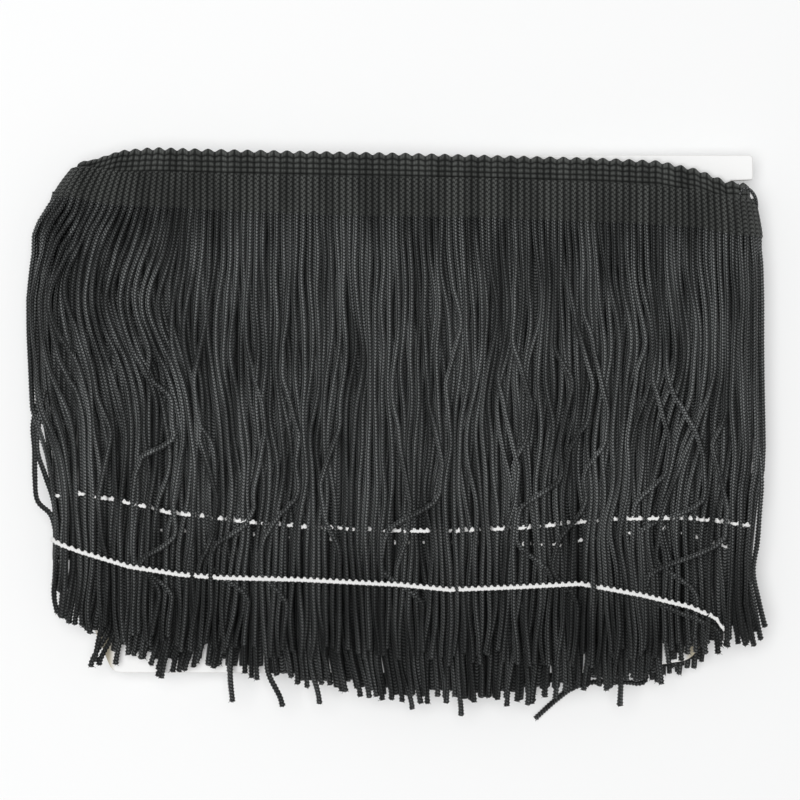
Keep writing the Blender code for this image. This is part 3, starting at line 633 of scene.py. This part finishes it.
def layerCourses(run, spec):
    # Grid of sideways places and lifts for every cord of a layer, with its roots and its cut ends
    settings = cordSettings
    rng = np.random.default_rng(spec["seed"])
    low, high = runSpan(run)
    pitch = windSettings["ribPitch"]
    phase = windSettings["ribPhaseX"] + spec["phase"] * pitch
    first, last = math.ceil((low + 0.4 - phase) / pitch), math.floor((high - 0.4 - phase) / pitch)
    roots = phase + pitch * np.arange(first, last + 1)
    depths = np.arange(0.0, settings["gridDepth"], settings["gridStep"])
    lowEdge = readEdge(run, roots, 1)
    heights = lowEdge[None, :] - depths[:, None]
    places = roots[None, :] + spec["flow"] * flowField(roots, depths)
    places = places + spec["gather"] * gatherField(places, heights)
    fromEnd = np.minimum(roots - windSettings["leftTurnX"], windSettings["rightTurnX"] - roots)
    inside = settings["endGrowth"] + (1 - settings["endGrowth"]) * smoothStep((fromEnd + 6) / 10)
    growth = sum(share * smoothStep(depths / depth) for depth, share in settings["growth"])
    growth = growth[:, None] * inside[None, :]
    calm = np.ones(places.shape)
    keeperY = np.interp(roots, *np.array(keeperRows).T)
    if spec["keeper"]:
        near = (heights - keeperY[None, :]) / settings["calmReach"]
        calm = 1 - settings["keeperCalm"] * np.exp(-near ** 2)
    places = places + growth * calm * wanderField(rng, depths, len(roots), spec["wave"])
    level = np.where(np.arange(len(roots)) % 2 == 0, -1.0, 1.0)
    for start in (0, 1):
        places[:, start::2] = pushApart(places[:, start::2].copy(), settings["width"] * settings["room"])
    places[0] = roots
    lift = level[None, :] * settings["levelLift"] * smoothStep(depths / settings["levelDepth"])[:, None]
    lift = lift + settings["liftWander"] * growth * wanderField(rng, depths, len(roots), 1.0)
    if spec["keeper"]:
        held = np.exp(-((heights - keeperY[None, :]) / settings["holdReach"]) ** 2)
        lift = lift * (1 - settings["keeperHold"] * held)
        for x in overKeeper:
            cord = int(np.argmin(np.abs(roots - x)))
            away = (heights[:, cord] - keeperY[cord]) / settings["overReach"]
            lift[:, cord] += settings["overLift"] * np.exp(-away ** 2)
    if spec["crossings"]:
        for course in crossingCourses:
            leadOver(course, roots, heights, places, lift)
        for _ in range(crosserSettings["count"]):
            x, y, shift = (rng.uniform(*crosserSettings["x"]), rng.uniform(*crosserSettings["y"]),
                           rng.choice([-1, 1]) * rng.uniform(*crosserSettings["shift"]))
            course = [(x + shift * aside, y - depth, rise)
                      for aside, depth, rise in crosserSettings["course"]]
            leadOver(course, roots, heights, places, lift)
    scatter = rng.uniform(-spec["scatter"], spec["scatter"], len(roots))
    ends = np.interp(roots, *np.array(spec["ends"]).T) + scatter
    for x, y, swing in spec["strays"]:
        cord = int(np.argmin(np.abs(roots - x)))
        ends[cord] = y
        length = settings["leadLength"]
        places[:, cord] += swing * smoothStep((y + length - heights[:, cord]) / length)
    spread = rng.normal(0, settings["tailSpread"], len(roots))
    tail = np.interp(roots, *np.array(leanRows).T) * spec["lean"] + spread
    past = smoothStep((ends[None, :] + settings["tailFrom"] - heights) / settings["tailLength"])
    places = places + past * tail[None, :]
    return roots, lowEdge, places, lift, ends


def cordLine(run, spec, lowEdge, places, lift, end):
    # Ring centres and outward directions of one cord
    settings = cordSettings
    depths = np.arange(0.0, settings["gridDepth"], settings["gridStep"])
    fineFrom = lowEdge - settings["fineBelowY"]
    total = lowEdge - end
    plain = np.arange(settings["seatDepth"], min(fineFrom, total), spec["plainStep"])
    fine = np.arange(plain[-1] + spec["step"], total, spec["step"])
    at = np.concatenate([plain, fine])
    s = smoothRead(depths, places, np.maximum(at, 0))
    off = smoothRead(depths, lift, np.maximum(at, 0))
    puff = [np.interp(at, puffRows[:, 0], puffRows[:, k]) * spec["puff"] for k in (1, 2)]
    x, z, outX, outZ = windingPlace(run, s, *puff)
    y = lowEdge - at
    points = np.stack([x + outX * off, y, z + outZ * off], -1)
    if run.startswith("front"):
        points[:, 2] -= settings["droop"] * np.maximum(settings["droopFromY"] - y, 0) ** 2
    points[:, 2] = np.maximum(points[:, 2], settings["restHeight"])
    return points, np.stack([outX, np.zeros(len(at)), outZ], -1)


def addCord(parts, points, out, sides, rng, extra=0.0):
    settings = cordSettings
    rings = len(points)
    count = settings["swellPlaces"]
    drawn = np.interp(np.arange(rings), np.linspace(0, rings, count), rng.normal(0, 1, count))
    swell = 1 + settings["swell"] * drawn
    swell[-4:] *= np.array(settings["endSwell"]) if rings > 8 else 1.0
    wide, high = (settings["width"] + extra) / 2 * swell, settings["height"] / 2 * swell
    parts.addTube(points, out, wide, high, knitRelief(points, sides, settings["relief"]), settings["stitch"])


# Filaments at a cut end: half thickness, least and most length, spread of lean and rise, places on the end
fraySettings = {
    "radius": 0.08, "length": (0.25, 0.7), "lean": 0.45, "rise": 0.25, "across": 0.42, "over": 0.3,
    "taper": [1.0, 0.9, 0.8, 0.5],
}


def addFray(parts, points, out, rng, count=4):
    settings = fraySettings
    tip, along = points[-1], points[-1] - points[-3]
    along = along / np.linalg.norm(along)
    across, upward = np.cross(along, out[-1]), out[-1]
    for _ in range(count):
        lean, rise = rng.normal(0, settings["lean"]), rng.normal(0, settings["rise"])
        side, over = (rng.uniform(-settings[key], settings[key]) for key in ("across", "over"))
        start = tip + across * side + upward * over - along * 0.3
        length = rng.uniform(*settings["length"])
        share = np.linspace(0, 1, 4)[:, None]
        direction = along + across * lean + upward * rise
        line = start + direction * share * length + across * lean * 0.3 * share ** 2
        line[:, 2] = np.maximum(line[:, 2], 0.1)
        radius = settings["radius"] * np.array(settings["taper"])
        parts.addTube(line, np.tile(upward, (4, 1)), radius, radius, np.ones((4, 3)), cordSettings["stitch"])


def buildCordLayer(run):
    spec = cordLayers[run]
    rng = np.random.default_rng(spec["seed"] + 1)
    roots, lowEdge, places, lift, ends = layerCourses(run, spec)
    groups = np.array_split(np.arange(len(roots)), len(spec["pieces"]))
    for name, group in zip(spec["pieces"], groups):
        parts = MeshParts()
        for cord in group:
            points, out = cordLine(run, spec, lowEdge[cord], places[:, cord], lift[:, cord], ends[cord])
            addCord(parts, points, out, spec["sides"], rng, spec["extraWidth"])
            addFray(parts, points, out, rng, spec["filaments"])
        piece = parts.build(name, cordYarn)
        if spec["node"]:
            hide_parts(spec["node"])


for run in cordLayers:
    buildCordLayer(run)
print("stage: cord layers made")


# Loose cords

# Free cords at the two ends, on and beside the winding: x, y, height above the table
sideCords = [
    [(-78.6, 2, 9), (-80.2, -5, 9), (-79.9, -11.1, 9.2), (-79.8, -17, 9.4), (-79.2, -22, 9.6),
     (-76.2, -25.2, 9.8), (-75, -30, 9.8)],
    [(-77.6, 2, 10.2), (-79, -6, 10.2), (-79.1, -11.3, 10.2), (-77.4, -16.5, 10.3), (-75.7, -21.7, 10.4),
     (-74.9, -28.3, 10.4), (-74.7, -34, 10.4)],
    [(77.6, -6, 9), (78.7, -12, 9), (79, -18, 9.2), (78.7, -23, 9.3), (78.1, -31, 9.4), (77.2, -37.5, 9.4),
     (78.4, -44, 9.4), (79.8, -49.6, 9.2)],
    [(76.4, -24, 9.6), (76.2, -32, 9.8), (76, -38, 9.8), (77.2, -44, 9.6), (78.9, -52.4, 9)],
    [(75.4, -30, 9.8), (75.2, -38, 10), (75.9, -45, 9.8), (77.4, -53.8, 9)],
    [(73, -38, 10.2), (72.4, -45, 10), (71.2, -53.8, 9.4)],
    [(75.2, -40, 10), (75.4, -45, 9.8), (74.6, -50, 9.6), (75.6, -53.6, 9.4)],
    [(-73.4, -34, 9.4), (-75.4, -39.5, 9.2), (-75.6, -43.5, 9), (-74.9, -46.6, 8.8)],
]

# Hidden cords of the inner turns beside the card: x below the heading, x at the keeper, height above table
turnCords = [
    (-71.3, -71.6, 8.2), (-75.8, -75.4, 8.2), (-72.6, -72.8, 6.4), (-73.8, -73.8, 6.8), (-74.9, -74.6, 7.4),
    (71.4, 71.4, 8.3), (73, 72.6, 6.6), (74.6, 74, 6.8), (76, 75, 7), (77.1, 76.3, 7.5),
]

# Hidden cords that fan out below the heading on the left turn: x, y, height above the table
fanCords = [
    [(-74.6, 43.5, 6), (-77.5, 40.4, 6), (-79.2, 36.4, 6), (-79.6, 32, 6), (-79.8, 24, 6), (-79.7, 10, 6),
     (-79.2, -3, 6)],
    [(-73.4, 42.4, 5.2), (-76.4, 39.4, 5.2), (-78.1, 36, 5.2), (-78.5, 31, 5.2), (-78.6, 22, 5.2),
     (-78.5, 8, 5.2), (-78, -5, 5.2)],
]

# A small loop of the heading's end yarn at the right corner: x, y, height above the table
cornerLoop = [
    (73.9, 43.8, 10.4), (74.4, 45.5, 10.6), (75.4, 46.2, 10.6), (76.8, 45.4, 10.4), (77.8, 43.8, 9.4),
    (78.1, 42.2, 8), (77.8, 40.4, 6.4),
]

# The longest loose cord, which lies on the table below the card: x, y, height above the table
tableCord = [
    (54.6, -48, 0.6), (54.6, -58, 0.5), (54.4, -61.9, 0.5), (52.9, -62.8, 0.5), (50.6, -62.6, 0.5),
    (43.4, -62.5, 0.5), (38.4, -63.8, 0.5), (34.4, -66.6, 0.5), (30, -70.6, 0.5),
]

# Steps between the rings of the visible cords, the hidden ones and the loop, and their extra widths
looseSettings = {
    "seed": 71, "step": 0.35, "hiddenStep": 1.5, "hiddenExtra": 0.2, "loopStep": 0.595, "loopExtra": -0.35,
}


def buildLooseCords():
    settings = looseSettings
    rng = np.random.default_rng(settings["seed"])
    parts = MeshParts()

    def addLoose(points, extra=0.0, frayed=False):
        out = np.tile([0.0, 0.0, 1.0], (len(points), 1))
        addCord(parts, points, out, 6, rng, extra)
        if frayed:
            addFray(parts, points, out, rng)

    hidden = [[(top, 41.5, height), (top, 3.0, height), (low, -20.0, height), (low, -35.0, height)]
              for top, low, height in turnCords]
    for course in hidden + fanCords:
        addLoose(smoothCourse(course, settings["hiddenStep"]), settings["hiddenExtra"])
    for course in sideCords + [tableCord]:
        points = smoothCourse(course, settings["step"])
        points[:, 2] = np.maximum(points[:, 2], cordSettings["restHeight"])
        addLoose(points, frayed=True)
    addLoose(smoothCourse(cornerLoop, settings["loopStep"]), settings["loopExtra"])
    piece = parts.build("looseCords", cordYarn)


buildLooseCords()
print("stage: loose cords made")


# Heading

# tilt and picotSize: how far the picot edge leans to the right, and how tall the picots are, by x
headingSettings = {
    "grooveDepth": 0.6, "picotHeight": 0.65, "picotRibs": 2, "edgeShare": 0.07, "backRibs": 0.1,
    "rightBulge": 1.0,
    "tilt": [(-79, 4.8), (-70.75, 3.6), (-60, 1.4), (-45, 0), (58, 0), (72, -0.6), (82, -1.6)],
    "picotSize": [(-72, 0.3), (-66, 0.35), (-57, 1)],
}
# Each run: samples for each rib, across its face and across its back, rows of stitches and the depth between
# them, how far the rows zigzag, share of the picots
innerRun = {"perRib": 3, "face": 8, "back": 3, "rows": 9, "rowDepth": 0.1, "zigzag": 0.16, "picots": 1.0}
headingRuns = {
    "front_1": {
        "perRib": 6, "face": 36, "back": 8, "rows": 9, "rowDepth": 0.12, "zigzag": 0.16, "picots": 0.12,
    },
    "front_2": {
        "perRib": 6, "face": 33, "back": 4, "rows": 8, "rowDepth": 0.22, "zigzag": 0.0, "picots": 1.0,
    },
    "front_3": innerRun, "back_3": innerRun, "back_2": innerRun,
    "back_1": {
        "perRib": 4, "face": 28, "back": 4, "rows": 9, "rowDepth": 0.2, "zigzag": 0.16, "picots": 1.0,
    },
}


def addHeadingRun(parts, run):
    settings, spec = headingSettings, headingRuns[run]
    pitch, half = windSettings["ribPitch"], windSettings["bandThickness"] / 2
    low, high = runSpan(run)
    s = np.linspace(low, high, int(round((high - low) / pitch * spec["perRib"])) + 1)
    rib = (s - windSettings["ribPhaseX"]) / pitch + 0.5
    x, z, outX, outZ = windingPlace(run, s, 0.0, settings["rightBulge"])
    bottom, height = readEdge(run, s, 1), readEdge(run, s, 2)
    wave = (0.5 - 0.5 * np.cos(2 * math.pi * rib / settings["picotRibs"])) ** 0.75
    size = settings["picotHeight"] * np.interp(s, *np.array(settings["picotSize"]).T)
    picot = spec["picots"] * size * wave
    share = np.concatenate([np.linspace(0, 1, spec["face"]), np.linspace(1, 0, spec["back"])])
    face = np.arange(len(share)) < spec["face"]
    rounding = np.sqrt(1 - (1 - np.minimum(np.minimum(share, 1 - share) / settings["edgeShare"], 1)) ** 2)
    ridge = np.abs(np.sin(math.pi * rib)) ** 0.7  # 1 on a rib, 0 in its groove
    lean = spec["zigzag"] * np.sin(2 * math.pi * rib)
    row = share[None, :] * spec["rows"] + lean[:, None]
    bead = np.abs(np.sin(math.pi * row)) ** 0.8
    front = half - settings["grooveDepth"] * (1 - ridge[:, None]) - spec["rowDepth"] * (1 - bead)
    back = -half + settings["backRibs"] * (1 - ridge[:, None])
    off = np.where(face[None, :], np.maximum(front, 0.05) * rounding[None, :], back * rounding[None, :])
    inward = np.interp(s, *np.array(settings["tilt"]).T)[:, None] * share[None, :] ** 1.3
    # picots lift only the top row
    rise = share[None, :] * height[:, None] + share[None, :] ** 5 * picot[:, None]
    points = np.stack([x[:, None] + outX[:, None] * off + inward, bottom[:, None] + rise,
                       z[:, None] + outZ[:, None] * off], -1)
    rings, sides = points.shape[:2]
    first = parts.count
    parts.points.append(points.reshape(-1, 3))
    parts.count += rings * sides
    i, j = np.meshgrid(np.arange(rings - 1), np.arange(sides), indexing="ij")
    after = (j + 1) % sides
    corners = [i * sides + j, (i + 1) * sides + j, (i + 1) * sides + after, i * sides + after]
    if run.startswith("back"):
        corners = corners[::-1]
    parts.quads.append(np.stack(corners, -1).reshape(-1, 4) + first)
    u, v = [rib[i], rib[i + 1], rib[i + 1], rib[i]], [share[j], share[j], share[after], share[after]]
    if run.startswith("back"):
        u, v = u[::-1], v[::-1]
    stitches = np.stack([np.stack(u, -1), np.stack(v, -1) * spec["rows"]], -1)
    parts.quadUvs.append(stitches.reshape(-1, 2))
    for ring, flip in ((0, False), (rings - 1, True)):  # closes the two ends of the run
        loop = first + ring * sides + np.arange(sides)
        pair = (loop, np.roll(loop, -1))
        if flip != run.startswith("back"):
            pair = pair[::-1]
        parts.points.append(points[ring].mean(0)[None])
        parts.tris.append(np.stack([*pair, np.full(sides, parts.count)], -1))
        parts.triUvs.append(np.tile([[0.4, 0.4], [0.6, 0.4], [0.5, 0.6]], (sides, 1)))
        parts.count += 1


def buildHeading(name, runs, yarn):
    parts = MeshParts()
    for run in runs:
        addHeadingRun(parts, run)
    piece = parts.build(name, yarn)
    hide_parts("heading")


buildHeading("headingBand", ["front_1", "front_3", "back_3", "back_2", "back_1"], headingYarn)
buildHeading("headingEdge", ["front_2"], edgeYarn)
print("stage: heading made")


# Keeper stitches

# rows: x, y. shown: stretches that show between the front cords, from x, to x, how far the thread rises.
keeperSettings = {
    "front_1": {
        "name": "frontKeeper", "rows": keeperRows, "span": (-76.1, 70.4), "step": 0.16, "lift": 0.62,
        "core": 0.27, "tooth": 0.21, "pitch": 1.4, "shown": [],
    },
    "front_2": {
        "name": "secondKeeper", "span": (-75.5, 75.5), "step": 0.24, "lift": 0.0, "core": 0.25,
        "tooth": 0.17, "pitch": 1.4,
        "rows": [(-76, -20.6), (-74, -20.9), (-68.7, -20.4), (-64.8, -21.3), (-57, -22.8), (-50, -24.6),
                 (-45.9, -25), (-39.8, -25.7), (-33.7, -26.5), (-20.9, -27.6), (-14.8, -27.8), (-2.6, -28.5),
                 (12.2, -28.5), (27.2, -27.8), (33.3, -27.2), (47.2, -25.9), (60.4, -25.7), (66.1, -26.1),
                 (71.5, -26.7), (76, -27.6)],
        "shown": [(-74.2, -73, 2), (-69.8, -68.7, 2), (-66.8, -63.9, 2.1), (-60.2, -55.2, 2),
                  (-51.9, -49.2, 1.9), (-47.6, -45.1, 2), (-40.6, -38.6, 2), (-35.8, -31.4, 2.1),
                  (-30, -29, 1.7), (-21.4, -20.4, 1.9), (-16.6, -14.7, 2.1), (-11.6, -10.1, 1.9),
                  (-3.6, -2, 1.9), (1, 6.3, 2.2), (12.3, 13.3, 1.9), (15.2, 16.8, 1.5), (20.3, 22.7, 1.9),
                  (25.4, 28.2, 2.1), (31.8, 33.6, 2), (37.2, 38.2, 1.6), (46.5, 47.1, 1.8),
                  (49.5, 52.5, 2.1), (53.8, 58.4, 2.2), (59.6, 60.6, 1.6), (65.3, 66, 1.8), (69, 69.5, 1.8),
                  (70.4, 71, 1.8), (72.1, 73.3, 1.8), (74.1, 75, 1.8)],
    },
    "front_3": {
        "name": "thirdKeeper", "span": (-60.0, 74.0), "step": 0.4, "lift": -0.3, "core": 0.2, "tooth": 0.14,
        "pitch": 1.4,
        "rows": [(-60, -28), (0, -31.4), (2.2, -31.1), (26, -31.5), (35.4, -31.5), (50, -28.9),
                 (57.2, -27.8), (68.7, -31.3), (74, -33)],
        "shown": [(2, 2.9, 3.8), (25.6, 27, 3.8), (29.6, 31, 3.7), (33.6, 35, 3.7), (49.6, 50.6, 3.5),
                  (56.9, 57.6, 3.5)],
    },
    "back_1": {
        "name": "underKeeper", "span": (-72.0, 76.0), "step": 0.4, "lift": 0.2, "core": 0.22, "tooth": 0.14,
        "pitch": 1.4, "rows": [(-72, -36), (0, -41), (76, -44)], "shown": [],
    },
}

# The three threads of the chain stitch: sideways shift and swing, lean of the swing, rise, radius, its share
keeperThreads = [
    {"shift": 0.0, "swing": 0.2, "skew": 0.0, "rise": 0.1, "radius": "core", "share": 1.0},
    {"shift": 0.0, "swing": -0.16, "skew": 0.0, "rise": -0.06, "radius": "core", "share": 0.9},
    {"shift": 0.16, "swing": 0.5, "skew": 0.5, "rise": 0.12, "radius": "tooth", "share": 1.0},
]


def addKeeperThread(parts, run, thread):
    spec = keeperSettings[run]
    radius = spec[thread["radius"]] * thread["share"]
    s = np.arange(spec["span"][0], spec["span"][1], spec["step"])
    turn = 2 * math.pi * s / spec["pitch"]
    lift = np.full(len(s), spec["lift"])
    for start, end, rise in spec["shown"]:
        lift += rise * smoothStep((s - start + 0.4) / 0.5) * smoothStep((end + 0.4 - s) / 0.5)
    x, z, outX, outZ = windingPlace(run, s)
    base = 0.0 if run.startswith("back") else cordSettings["levelLift"]
    off = base + lift + thread["rise"] * np.cos(turn)
    swing = thread["swing"] * np.sin(turn + thread["skew"] * np.sin(turn))
    y = np.interp(s, *np.array(spec["rows"]).T) + thread["shift"] + swing
    points = np.stack([x + outX * off, y, z + outZ * off], -1)
    points[:, 2] = np.maximum(points[:, 2], radius + 0.02)
    out = np.stack([outX, np.zeros(len(s)), outZ], -1)
    wide = np.full(len(s), radius)
    parts.addTube(points, out, wide, wide, np.ones((len(s), 5)), 0.5)


def buildKeeper(run):
    parts = MeshParts()
    for thread in keeperThreads:
        addKeeperThread(parts, run, thread)
    piece = parts.build(keeperSettings[run]["name"], keeperYarn)


for run in keeperSettings:
    buildKeeper(run)
print("stage: keeper stitches made")


# Card

# corners: x, y, how far each is rounded. edgeBelow: faces with less upward part than this are the cut edge.
# worn: the brown core that shows where the lower corners are worn, outside wornX and below wornY.
cardSettings = {
    "corners": [(-63, -59.8, 2), (46, -59.8, 6), (63.6, -57, 2), (68, -51, 2), (72.3, -42, 3),
                (72.3, 48, 0.4), (77.4, 48.3, 0.5), (77.4, 53.7, 1), (-62.5, 53.7, 4), (-71.4, 48.6, 3),
                (-71.4, -42, 3), (-67.6, -49, 2)],
    "bevel": 0.35, "face": (0.94, 0.94, 0.935), "faceDim": (0.91, 0.91, 0.905), "cut": (0.88, 0.87, 0.85),
    "edgeBelow": 0.93, "rough": (0.7, 0.9), "bump": 0.3, "bumpDepth": 0.00008, "worn": (0.5, 0.45, 0.34),
    "wornX": 62.4, "wornY": -50.0, "wornFade": 1.4,
}


def roundedOutline(corners, steps=6):
    # Each corner is cut back by its size and filled with a soft curve
    outline = []
    for index, (x, y, size) in enumerate(corners):
        here = np.array([x, y])
        before = np.array(corners[index - 1][:2]) - here
        after = np.array(corners[(index + 1) % len(corners)][:2]) - here
        start = here + before / np.linalg.norm(before) * size
        end = here + after / np.linalg.norm(after) * size
        for t in np.linspace(0, 1, steps):
            outline.append(start * (1 - t) ** 2 + here * 2 * t * (1 - t) + end * t ** 2)
    return outline


def makeCardPaper():
    settings = cardSettings
    material = bpy.data.materials.new("cardPaper")
    material.use_nodes = True
    nodes, links = material.node_tree.nodes, material.node_tree.links
    shader = nodes["Principled BSDF"]
    fibre = addGroup(nodes, fibreGroup, Fine=1800.0, Slow=45.0)
    face = colourMix(nodes, links, fibre.outputs["Tone"], settings["faceDim"], settings["face"])
    normal = splitAxes(nodes, links, nodes.new("ShaderNodeNewGeometry").outputs["Normal"])
    upright = math2(nodes, links, "ABSOLUTE", normal["Z"])
    edge = math2(nodes, links, "LESS_THAN", upright, settings["edgeBelow"])
    trimmed = colourMix(nodes, links, edge, face, settings["cut"])
    place = splitAxes(nodes, links, nodes.new("ShaderNodeTexCoord").outputs["Object"])
    across = math2(nodes, links, "ABSOLUTE", math2(nodes, links, "SUBTRACT", place["X"], shiftX * mm))
    down = math2(nodes, links, "SUBTRACT", shiftY * mm, place["Y"])
    masks = [mapRange(nodes, links, value, start * mm, (start + settings["wornFade"]) * mm)
             for value, start in ((across, settings["wornX"]), (down, -settings["wornY"]))]
    worn = math2(nodes, links, "MULTIPLY", *masks)
    links.new(colourMix(nodes, links, worn, trimmed, settings["worn"]), shader.inputs["Base Color"])
    rough = mapRange(nodes, links, fibre.outputs["Fibre"], 0.0, 1.0, *settings["rough"])
    links.new(rough, shader.inputs["Roughness"])
    addBump(nodes, links, shader, fibre.outputs["Fibre"], settings["bump"], settings["bumpDepth"])
    return material


def buildCard():
    outline = roundedOutline(cardSettings["corners"])
    bm = bmesh.new()
    bottom, top = cardLow[2], cardHigh[2]
    face = bm.faces.new([bm.verts.new(((x + shiftX) * mm, (y + shiftY) * mm, bottom)) for x, y in outline])
    grown = bmesh.ops.extrude_face_region(bm, geom=[face])
    moved = [item for item in grown["geom"] if isinstance(item, bmesh.types.BMVert)]
    bmesh.ops.translate(bm, verts=moved, vec=(0, 0, top - bottom))
    rim = [edge for edge in bm.edges if abs(edge.verts[0].co.z - edge.verts[1].co.z) < 1e-6]
    bmesh.ops.bevel(bm, geom=rim, offset=cardSettings["bevel"] * mm, segments=3, affect="EDGES", profile=0.5)
    bmesh.ops.recalc_face_normals(bm, faces=bm.faces)
    mesh = bpy.data.meshes.new("cardBoard")
    bm.to_mesh(mesh)
    bm.free()
    mesh.materials.append(makeCardPaper())
    piece = bpy.data.objects.new("cardBoard", mesh)
    bpy.context.scene.collection.objects.link(piece)
    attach(piece, "root")
    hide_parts("card")


buildCard()
print("stage: card made")


# Table, light and camera

studioSettings = {
    # width and height of the plane that the view is measured on, and the camera's distance from it
    "viewWidth": 173.9, "viewHeight": 12.7, "distance": 600.0,
    "floorSize": 3.0, "floorZ": -0.0002, "floorColour": (0.71, 0.714, 0.714),
    "floorGlow": 0.225,  # a lit table softens the shadows
    "skyColour": (1.0, 1.0, 1.0), "skyStrength": 0.36,
    # name, place in metres, size, power
    "lamps": [("softOverhead", (-0.2, 0.05, 1.25), 0.9, 12.9)],
}


def buildTable():
    size = studioSettings["floorSize"]
    mesh = bpy.data.meshes.new("paleTable")
    corners = [(-size, -size, 0), (size, -size, 0), (size, size, 0), (-size, size, 0)]
    mesh.from_pydata(corners, [], [(0, 1, 2, 3)])
    material = bpy.data.materials.new("paleTable")
    material.use_nodes = True
    shader = material.node_tree.nodes["Principled BSDF"]
    shader.inputs["Base Color"].default_value = (*studioSettings["floorColour"], 1)
    shader.inputs["Roughness"].default_value = 0.9
    shader.inputs["Specular IOR Level"].default_value = 0.1
    shader.inputs["Emission Color"].default_value = (1, 1, 1, 1)
    shader.inputs["Emission Strength"].default_value = studioSettings["floorGlow"]
    mesh.materials.append(material)
    table = bpy.data.objects.new("paleTable", mesh)
    table.location.z = studioSettings["floorZ"]
    bpy.context.scene.collection.objects.link(table)


def buildLight():
    world = bpy.data.worlds.new("paleStudio")
    bpy.context.scene.world = world
    world.use_nodes = True
    sky = world.node_tree.nodes["Background"]
    sky.inputs["Color"].default_value = (*studioSettings["skyColour"], 1)
    sky.inputs["Strength"].default_value = studioSettings["skyStrength"]
    for name, place, size, power in studioSettings["lamps"]:
        data = bpy.data.lights.new(name, "AREA")
        data.shape, data.size, data.energy = "DISK", size, power
        lamp = bpy.data.objects.new(name, data)
        lamp.location = place
        lamp.rotation_euler = directionTo(place)
        bpy.context.scene.collection.objects.link(lamp)
    bpy.context.scene.view_settings.view_transform = "Standard"


def directionTo(place):  # turns a lamp at place towards the middle of the trim
    x, y, z = place
    return math.atan2(math.hypot(x, y), z), 0.0, math.atan2(-x, y)


def buildCamera():
    settings = studioSettings
    data = bpy.data.cameras.new("overhead")
    data.lens = data.sensor_width * settings["distance"] / settings["viewWidth"]
    data.clip_start, data.clip_end = 0.01, 20
    camera = bpy.data.objects.new("overhead", data)
    camera.location = (shiftX * mm, shiftY * mm, (settings["distance"] + settings["viewHeight"]) * mm)
    bpy.context.scene.collection.objects.link(camera)
    bpy.context.scene.camera = camera


buildTable()
buildLight()
buildCamera()
print("stage: table, light and camera set")
